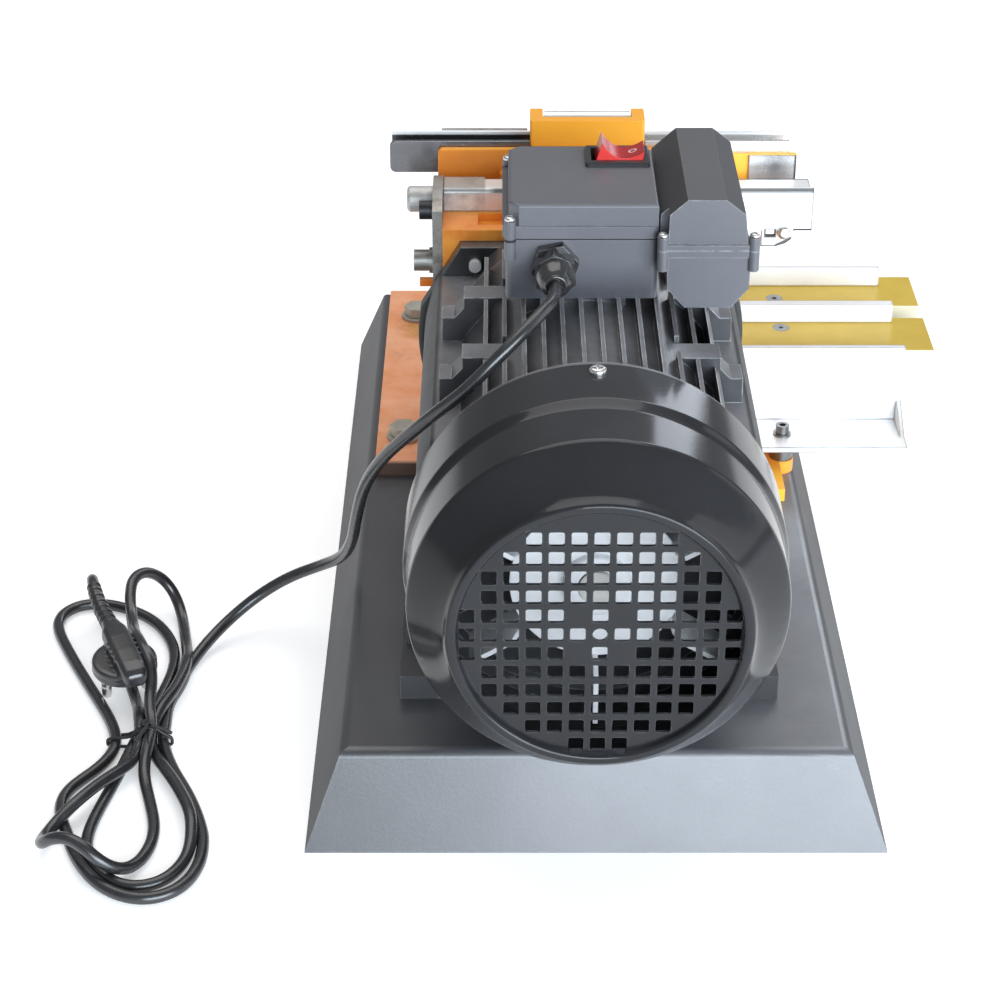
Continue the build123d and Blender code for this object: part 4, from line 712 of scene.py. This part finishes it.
# loops of the tied hank, laid in the order that the cord runs: out round the near loop, back through the tie, and so on
# to the plug
LOOPS = [
    (-194.4, -111.4, 2.8), (-195.0, -119.4, 2.8), (-196.3, -127.3, 2.8), (-198.4, -135.0, 2.8), (-199.6, -142.8, 2.8), (-199.4, -150.7, 2.8), (-198.9, -158.7, 2.8), (-199.0, -166.6, 2.8), (-197.8, -174.5, 2.8),
    (-195.4, -182.0, 2.8), (-192.7, -189.5, 2.8), (-189.5, -196.8, 2.8), (-186.0, -204.0, 2.8), (-182.6, -211.2, 2.8), (-179.6, -218.6, 2.8), (-176.9, -226.1, 2.8), (-174.5, -233.8, 2.8), (-172.5, -241.6, 2.8),
    (-171.7, -249.5, 2.8), (-171.8, -257.6, 2.8), (-173.1, -265.5, 2.8), (-175.8, -273.0, 2.8), (-180.6, -279.4, 2.8), (-187.4, -283.5, 2.8), (-195.3, -284.5, 2.8), (-203.1, -282.5, 3.0), (-210.1, -278.6, 3.4),
    (-216.1, -273.3, 4.0), (-220.8, -266.8, 4.0), (-224.7, -259.8, 3.5), (-228.0, -252.5, 3.0), (-230.8, -245.0, 2.8), (-233.6, -237.6, 2.8), (-236.5, -230.1, 2.8), (-238.4, -222.3, 2.8), (-238.5, -214.3, 2.8),
    (-236.0, -206.7, 2.8), (-231.7, -200.0, 2.8), (-227.0, -193.5, 2.8), (-223.2, -186.5, 2.8), (-220.8, -178.9, 2.8), (-220.5, -170.9, 2.8), (-222.2, -163.1, 2.8), (-224.9, -155.6, 2.8), (-228.1, -148.3, 2.8),
    (-231.6, -141.1, 2.8), (-235.2, -134.0, 2.8), (-238.9, -126.8, 2.8), (-242.4, -119.7, 2.8), (-246.0, -112.5, 2.8), (-249.5, -105.3, 2.8), (-252.9, -98.1, 2.8), (-256.2, -90.8, 2.8), (-259.4, -83.5, 2.8),
    (-262.2, -76.0, 2.8), (-263.6, -68.2, 2.8), (-261.7, -60.5, 2.8), (-256.5, -54.5, 2.8), (-249.1, -51.7, 2.8), (-241.2, -52.3, 2.8), (-233.6, -54.9, 2.8), (-226.6, -58.8, 2.8), (-220.2, -63.5, 2.8),
    (-214.6, -69.2, 2.8), (-210.0, -75.7, 2.8), (-206.3, -82.8, 2.8), (-203.5, -90.3, 2.8), (-201.7, -98.1, 2.8), (-200.9, -106.0, 2.8), (-201.1, -114.0, 2.8), (-202.0, -121.9, 2.8), (-203.3, -129.8, 2.8),
    (-204.7, -137.6, 2.8), (-206.3, -145.5, 2.8), (-208.1, -153.3, 2.8), (-209.8, -161.0, 2.8), (-211.2, -168.9, 2.8), (-212.6, -176.8, 2.8), (-213.8, -184.6, 2.8), (-215.2, -192.5, 2.8), (-216.6, -200.4, 2.8),
    (-218.1, -208.2, 2.8), (-219.7, -216.1, 2.8), (-221.2, -223.9, 2.8), (-222.5, -231.8, 2.8), (-223.2, -239.7, 2.8), (-222.9, -247.7, 2.8), (-220.7, -255.4, 2.8), (-217.2, -262.5, 2.8), (-212.5, -268.9, 2.8),
    (-206.5, -274.2, 2.8), (-199.0, -276.7, 2.8), (-191.2, -275.4, 2.8), (-184.8, -270.7, 2.8), (-180.6, -263.9, 2.8), (-178.2, -256.3, 2.8), (-177.2, -248.5, 3.8), (-177.5, -240.8, 5.6), (-178.6, -233.0, 6.7),
    (-180.9, -225.3, 6.9), (-183.9, -217.9, 6.8), (-187.2, -210.6, 6.7), (-190.8, -203.5, 6.7), (-194.5, -196.4, 6.3), (-198.1, -189.3, 5.2), (-201.1, -181.9, 3.6), (-203.6, -174.3, 2.8), (-204.7, -166.3, 3.3),
    (-204.0, -158.6, 5.4), (-201.9, -151.3, 7.9), (-199.2, -143.8, 8.5), (-197.0, -136.0, 8.3), (-195.3, -128.1, 8.4), (-194.1, -120.1, 8.6), (-193.8, -112.1, 8.5), (-194.5, -104.2, 6.6), (-195.7, -96.5, 4.5),
    (-197.1, -88.6, 3.2), (-198.6, -80.7, 2.8), (-200.1, -72.7, 2.8), (-201.8, -64.8, 3.7), (-204.2, -58.0, 7.2), (-207.7, -53.8, 13.0), (-212.4, -53.3, 19.4), (-217.6, -56.2, 24.5), (-222.1, -62.0, 27.2),
    (-224.7, -69.5, 27.1), (-224.7, -77.2, 24.5), (-223.7, -84.7, 21.8), (-222.1, -92.5, 20.4), (-220.5, -100.4, 20.8), (-218.8, -108.1, 22.8), (-216.6, -115.5, 25.3), (-213.7, -122.9, 26.7), (-210.5, -130.4, 26.4),
    (-207.2, -137.2, 23.5), (-206.2, -143.2, 17.7), (-206.7, -150.1, 13.3), (-205.8, -157.8, 10.8), (-204.1, -165.7, 9.4), (-203.6, -173.8, 9.2), (-203.9, -181.9, 8.7), (-204.4, -189.7, 6.8), (-204.0, -197.5, 4.5),
    (-202.3, -205.2, 3.1), (-200.1, -213.0, 2.8), (-198.0, -220.8, 2.8), (-196.0, -228.6, 2.8), (-194.7, -236.5, 2.8), (-194.5, -244.6, 2.8), (-195.7, -252.6, 2.8), (-198.5, -260.1, 2.8), (-203.0, -266.6, 4.3),
    (-208.6, -270.5, 8.4), (-214.5, -270.9, 13.7), (-220.4, -267.9, 18.2), (-227.2, -264.2, 19.5), (-234.3, -261.4, 17.2), (-239.4, -258.1, 12.1), (-241.8, -252.2, 7.5), (-241.5, -244.8, 5.0), (-238.7, -237.4, 5.4),
    (-234.2, -231.3, 7.9), (-229.7, -225.0, 9.3), (-225.5, -218.3, 9.7), (-221.4, -211.6, 9.5), (-217.1, -205.0, 8.8), (-213.2, -198.2, 7.7), (-210.3, -191.0, 6.2), (-208.8, -183.3, 5.5), (-208.4, -175.5, 6.5),
    (-209.3, -167.8, 8.1), (-210.6, -160.0, 8.4), (-212.0, -152.4, 6.9), (-213.5, -145.1, 4.4), (-215.5, -137.6, 2.8), (-217.9, -130.1, 2.8), (-220.4, -122.6, 2.8), (-223.0, -115.1, 2.8), (-225.6, -107.7, 2.8),
    (-228.2, -100.2, 2.8), (-230.6, -92.7, 2.8), (-232.6, -85.1, 2.8), (-234.7, -77.4, 2.8), (-237.5, -70.3, 3.3), (-240.8, -64.8, 7.3), (-243.5, -62.2, 13.7), (-244.8, -63.2, 20.9), (-244.5, -67.3, 27.3),
    (-243.3, -74.1, 31.1), (-241.3, -81.9, 31.4), (-238.8, -89.3, 29.4), (-235.7, -96.5, 27.3), (-232.0, -103.5, 26.3), (-228.8, -110.8, 25.7),
]
CORD_R = 0.0028


def make_cord():
    cu = bpy.data.curves.new("mains_cord", "CURVE")
    cu.dimensions = "3D"
    sp = cu.splines.new("NURBS")
    pts = [Vector(p) * MM for p in ROUTE + LOOPS]
    sp.points.add(len(pts) - 1)
    for q, p in zip(sp.points, pts):
        q.co = (*p, 1.0)
    sp.order_u = 3
    sp.use_endpoint_u = True
    cu.resolution_u = 6
    o = bpy.data.objects.new("mains_cord", cu)
    scene.collection.objects.link(o)
    dg = bpy.context.evaluated_depsgraph_get()
    line_mesh = bpy.data.meshes.new_from_object(o.evaluated_get(dg))
    line = [v.co.copy() for v in line_mesh.vertices]
    bpy.data.meshes.remove(line_mesh)
    cu.bevel_depth = CORD_R
    cu.bevel_resolution = 5
    cu.use_fill_caps = True
    cu.materials.append(M["cord_black"])
    return o, line


cord, cord_line = make_cord()
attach(cord, "machine")
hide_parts("power_cord", "cord_hank")

# plug frame: x along the cable into the plug, z out of its back
PX = Vector((0.398, -0.914, -0.075)).normalized()
PZ = (Vector((0, 0, 1)) - PX * PX.z).normalized()
PY = PZ.cross(PX)
PLUG = Matrix.Translation(Vector((-228.8, -110.8, 25.7)) * MM) @ Matrix((PX, PY, PZ)).transposed().to_4x4()


def in_plug(pts):
    return [PLUG @ (Vector(p) * MM) for p in pts]


def make_plug():
    sides = 56

    def disc_ring(r, z):
        return in_plug([(20 + r * math.cos(2 * math.pi * k / sides), r * math.sin(2 * math.pi * k / sides), z) for k in range(sides)])

    disc = rings_mesh([disc_ring(r, z) for r, z in ((13.2, -9.5), (14.8, -9.2), (15.5, -8.3), (15.5, -6.4), (15.2, -6.1), (15.2, -5.7), (15.5, -5.4), (15.5, -3.9), (14.9, -2.8), (13.2, -2.4))])
    ridge = []
    for x, w, lo, hi in ((-4.6, 3.9, -3.6, 3.6), (-3.4, 4.3, -4.0, 4.0), (0.0, 5.0, -4.3, 4.6), (4.0, 6.2, -4.4, 5.4), (12.0, 6.6, -4.4, 5.7), (24.0, 6.6, -4.4, 5.7), (34.0, 6.5, -4.4, 5.4), (39.0, 5.9, -4.4, 4.4), (41.4, 4.8, -4.2, 2.9), (42.2, 3.6, -3.8, 1.4)):
        c, h = (lo + hi) / 2, (hi - lo) / 2
        ring = []
        for k in range(36):
            a = 2 * math.pi * k / 36
            ca, sa = math.cos(a), math.sin(a)
            ring.append((x, w * math.copysign(abs(ca) ** 0.62, ca), c + h * math.copysign(abs(sa) ** 0.62, sa)))
        ridge.append(in_plug(ring))
    shells = [disc, rings_mesh(ridge)]
    # finger grips: three low bars on each flank of the ridge
    for sy in (-1, 1):
        for x in (15.0, 19.0, 23.0, 27.0):
            ring = []
            for z in (-2.0, 4.2):
                ring.append(in_plug([(x + 0.9 * math.cos(2 * math.pi * k / 10), sy * 6.4 + 0.75 * math.sin(2 * math.pi * k / 10), z) for k in range(10)]))
            shells.append(rings_mesh(ring))
    body = moulded("plug_body", shells, 0.00042, M["cord_black"], 3)
    v, f = [], []
    for sy in (-1, 1):
        rings = []
        for r, z in ((2.38, -9.0), (2.38, -16.0), (2.30, -16.15), (2.30, -16.45), (2.38, -16.6), (2.38, -21.6), (2.1, -22.6), (1.5, -23.2), (0.6, -23.4)):
            rings.append(in_plug([(20 + r * math.cos(2 * math.pi * k / 24), sy * 9.5 + r * math.sin(2 * math.pi * k / 24), z) for k in range(24)]))
        pv, pf = rings_mesh(rings)
        f += [tuple(i + len(v) for i in q) for q in pf]
        v += pv
    pins = mesh_obj("plug_pins", v, f, M["zinc"])
    return body, pins


plug_body, plug_pins = make_plug()
for p, s in ((plug_body, "cord_black"), (plug_pins, "zinc")):
    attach(p, "machine")
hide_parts("power_plug")


def make_relief():
    """Ribbed sleeve on the last stretch of the cord, swelling towards the plug."""
    end = len(cord_line) - 1
    dist = [0.0]
    for i in range(end, 0, -1):
        dist.append(dist[-1] + (cord_line[i] - cord_line[i - 1]).length)
    back = list(reversed(cord_line))
    reach = 0.034
    path, radii = [], []
    steps = 120
    for s in range(steps + 1):
        d = reach * (1 - s / steps)
        i = max(k for k in range(len(dist)) if dist[k] <= d)
        j = min(i + 1, len(dist) - 1)
        t = 0 if dist[j] == dist[i] else (d - dist[i]) / (dist[j] - dist[i])
        path.append(back[i].lerp(back[j], t))
        base = 0.0034 + 0.0011 * (s / steps)
        rib = (s / steps * 8.0) % 1.0
        dip = 0.00055 if 0.36 < rib < 0.86 and 6 < s < steps - 8 else 0.0
        radii.append(base - dip if s > 2 else base - 0.0004 * (3 - s))
    v, f = rings_mesh(tube_rings(path, radii, 22))
    return mesh_obj("plug_relief", v, f, M["cord_black"])


plug_relief = make_relief()
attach(plug_relief, "machine")


def make_tie():
    """Paper-covered twist wire: once round the strands, then its two ends twisted together and bent out."""
    v, f = [], []

    def strand(path, r):
        nonlocal v, f
        sv, sf = rings_mesh(tube_rings(path, [r] * len(path), 10))
        f += [tuple(i + len(v) for i in q) for q in sf]
        v += sv

    cx, w = -209.3, 14.6
    loop = []
    for k in range(65):
        a = math.radians(70 + 400 * k / 64)
        ca, sa = math.cos(a), math.sin(a)
        x = cx + (w + 0.6 * k / 64) * math.copysign(abs(ca) ** 0.55, ca)
        over = 6.6 + 6.1 * math.exp(-((x + 205.0) / 5.6) ** 2)
        z = 3.3 + (over - 3.3) * abs(sa) ** 0.5 if sa > 0 else 3.3 - 2.4 * abs(sa) ** 0.5
        loop.append(Vector((x, -172.0 + 2.6 * (k / 64 - 0.5), z)) * MM)
    strand(loop, 0.0008)
    for sgn in (0, 1):
        tail = []
        for k in range(60):
            u = k / 59
            a = 2 * math.pi * 3.2 * min(u, 0.62) + math.pi * sgn
            r = 0.95 if u < 0.62 else 0.95 + (u - 0.62) * 18
            p = Vector((cx + 2.0 + 7.0 * u, -171.5 - 13.0 * u, 13.7 + 5.0 * math.sin(u * 2.6) - 1.5 * u))
            p += Vector((r * math.cos(a), 0.5 * r * math.cos(a), r * math.sin(a) if u < 0.62 else r * math.sin(a) * 0.4))
            tail.append(p * MM)
        strand(tail, 0.0008)
    return mesh_obj("cord_twist_tie", v, f, M["tie_wire"])


tie = make_tie()
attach(tie, "machine")
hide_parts("cord_tie")


# ------------------------------------------------------------------ small mouldings not in the solids
def torus_y(name, at, big, small, material, sides=40, round_=14):
    """Ring about an axis along Y."""
    rings = []
    for i in range(sides + 1):
        a = 2 * math.pi * i / sides
        c = Vector((math.cos(a), 0, math.sin(a)))
        rings.append([Vector(at) + c * (big + small * math.cos(2 * math.pi * k / round_)) + Vector((0, small * math.sin(2 * math.pi * k / round_), 0)) for k in range(round_)])
    v, f = rings_mesh(rings, caps=False)
    return mesh_obj(name, v, f, material)


gland_lip = torus_y("gland_lip", Vector((-18.0, -141.6, 222.0)) * MM, 0.0041, 0.0010, M["gland_gloss"])
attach(gland_lip, "machine")


# ------------------------------------------------------------------ stage
def make_stage():
    floor = mesh_obj("floor", [(-6, -6, 0), (6, -6, 0), (6, 6, 0), (-6, 6, 0)], [(0, 1, 2, 3)], None, False)
    m = Mat("floor_pale", (0.95, 0.95, 0.95), 0.6, spec=0.2)
    c = m.mix(m.noise(3.0, 3.0), (0.94, 0.94, 0.94), (0.96, 0.96, 0.96))
    m.b.inputs["Emission Color"].default_value = (1.0, 1.0, 1.0, 1)
    m.b.inputs["Emission Strength"].default_value = 0.36
    floor.data.materials.append(m.out(c, m.math("ADD", 0.55, m.math("MULTIPLY", m.noise(40.0), 0.1))))

    def softbox(name, at, aim, size, radiance, color):
        d = bpy.data.lights.new(name, "AREA")
        d.shape = "RECTANGLE"
        d.size, d.size_y = size
        d.energy = radiance * math.pi * size[0] * size[1]
        d.color = color
        o = bpy.data.objects.new(name, d)
        o.location = at
        o.rotation_euler = (Vector(aim) - Vector(at)).to_track_quat("-Z", "Y").to_euler()
        scene.collection.objects.link(o)

    softbox("key_front", (1.27, -3.0, 0.95), (0.05, 0.0, 0.10), (3.3, 1.7), 11.4, (0.80, 0.905, 1.0))
    softbox("top_soft", (-0.2, 0.8, 2.4), (0.0, 0.0, 0.1), (2.2, 2.2), 2.0, (1.0, 0.965, 0.93))
    softbox("right_soft", (2.4, 0.2, 1.0), (0.0, 0.0, 0.15), (1.6, 1.6), 1.2, (0.97, 0.985, 1.0))
    softbox("window_strip", (1.22, 2.5, 1.45), (0.0, -0.15, 0.18), (0.45, 2.2), 4.4, (0.84, 0.90, 1.0))
    w = bpy.data.worlds.new("studio")
    scene.world = w
    w.use_nodes = True
    bg = w.node_tree.nodes["Background"]
    bg.inputs[0].default_value = (0.92, 0.95, 1.0, 1)
    bg.inputs[1].default_value = 0.34
    scene.view_settings.view_transform = "Standard"
    scene.view_settings.look = "None"
    scene.view_settings.exposure = 0.0

    cam = bpy.data.cameras.new("camera")
    cam.lens = 86.87
    cam.sensor_width = 36.0
    cam.clip_start, cam.clip_end = 0.05, 50.0
    o = bpy.data.objects.new("camera", cam)
    o.location = (-0.042, -1.0863, 0.661)
    o.rotation_euler = (math.radians(60.0), 0, 0)
    scene.collection.objects.link(o)
    scene.camera = o


make_stage()
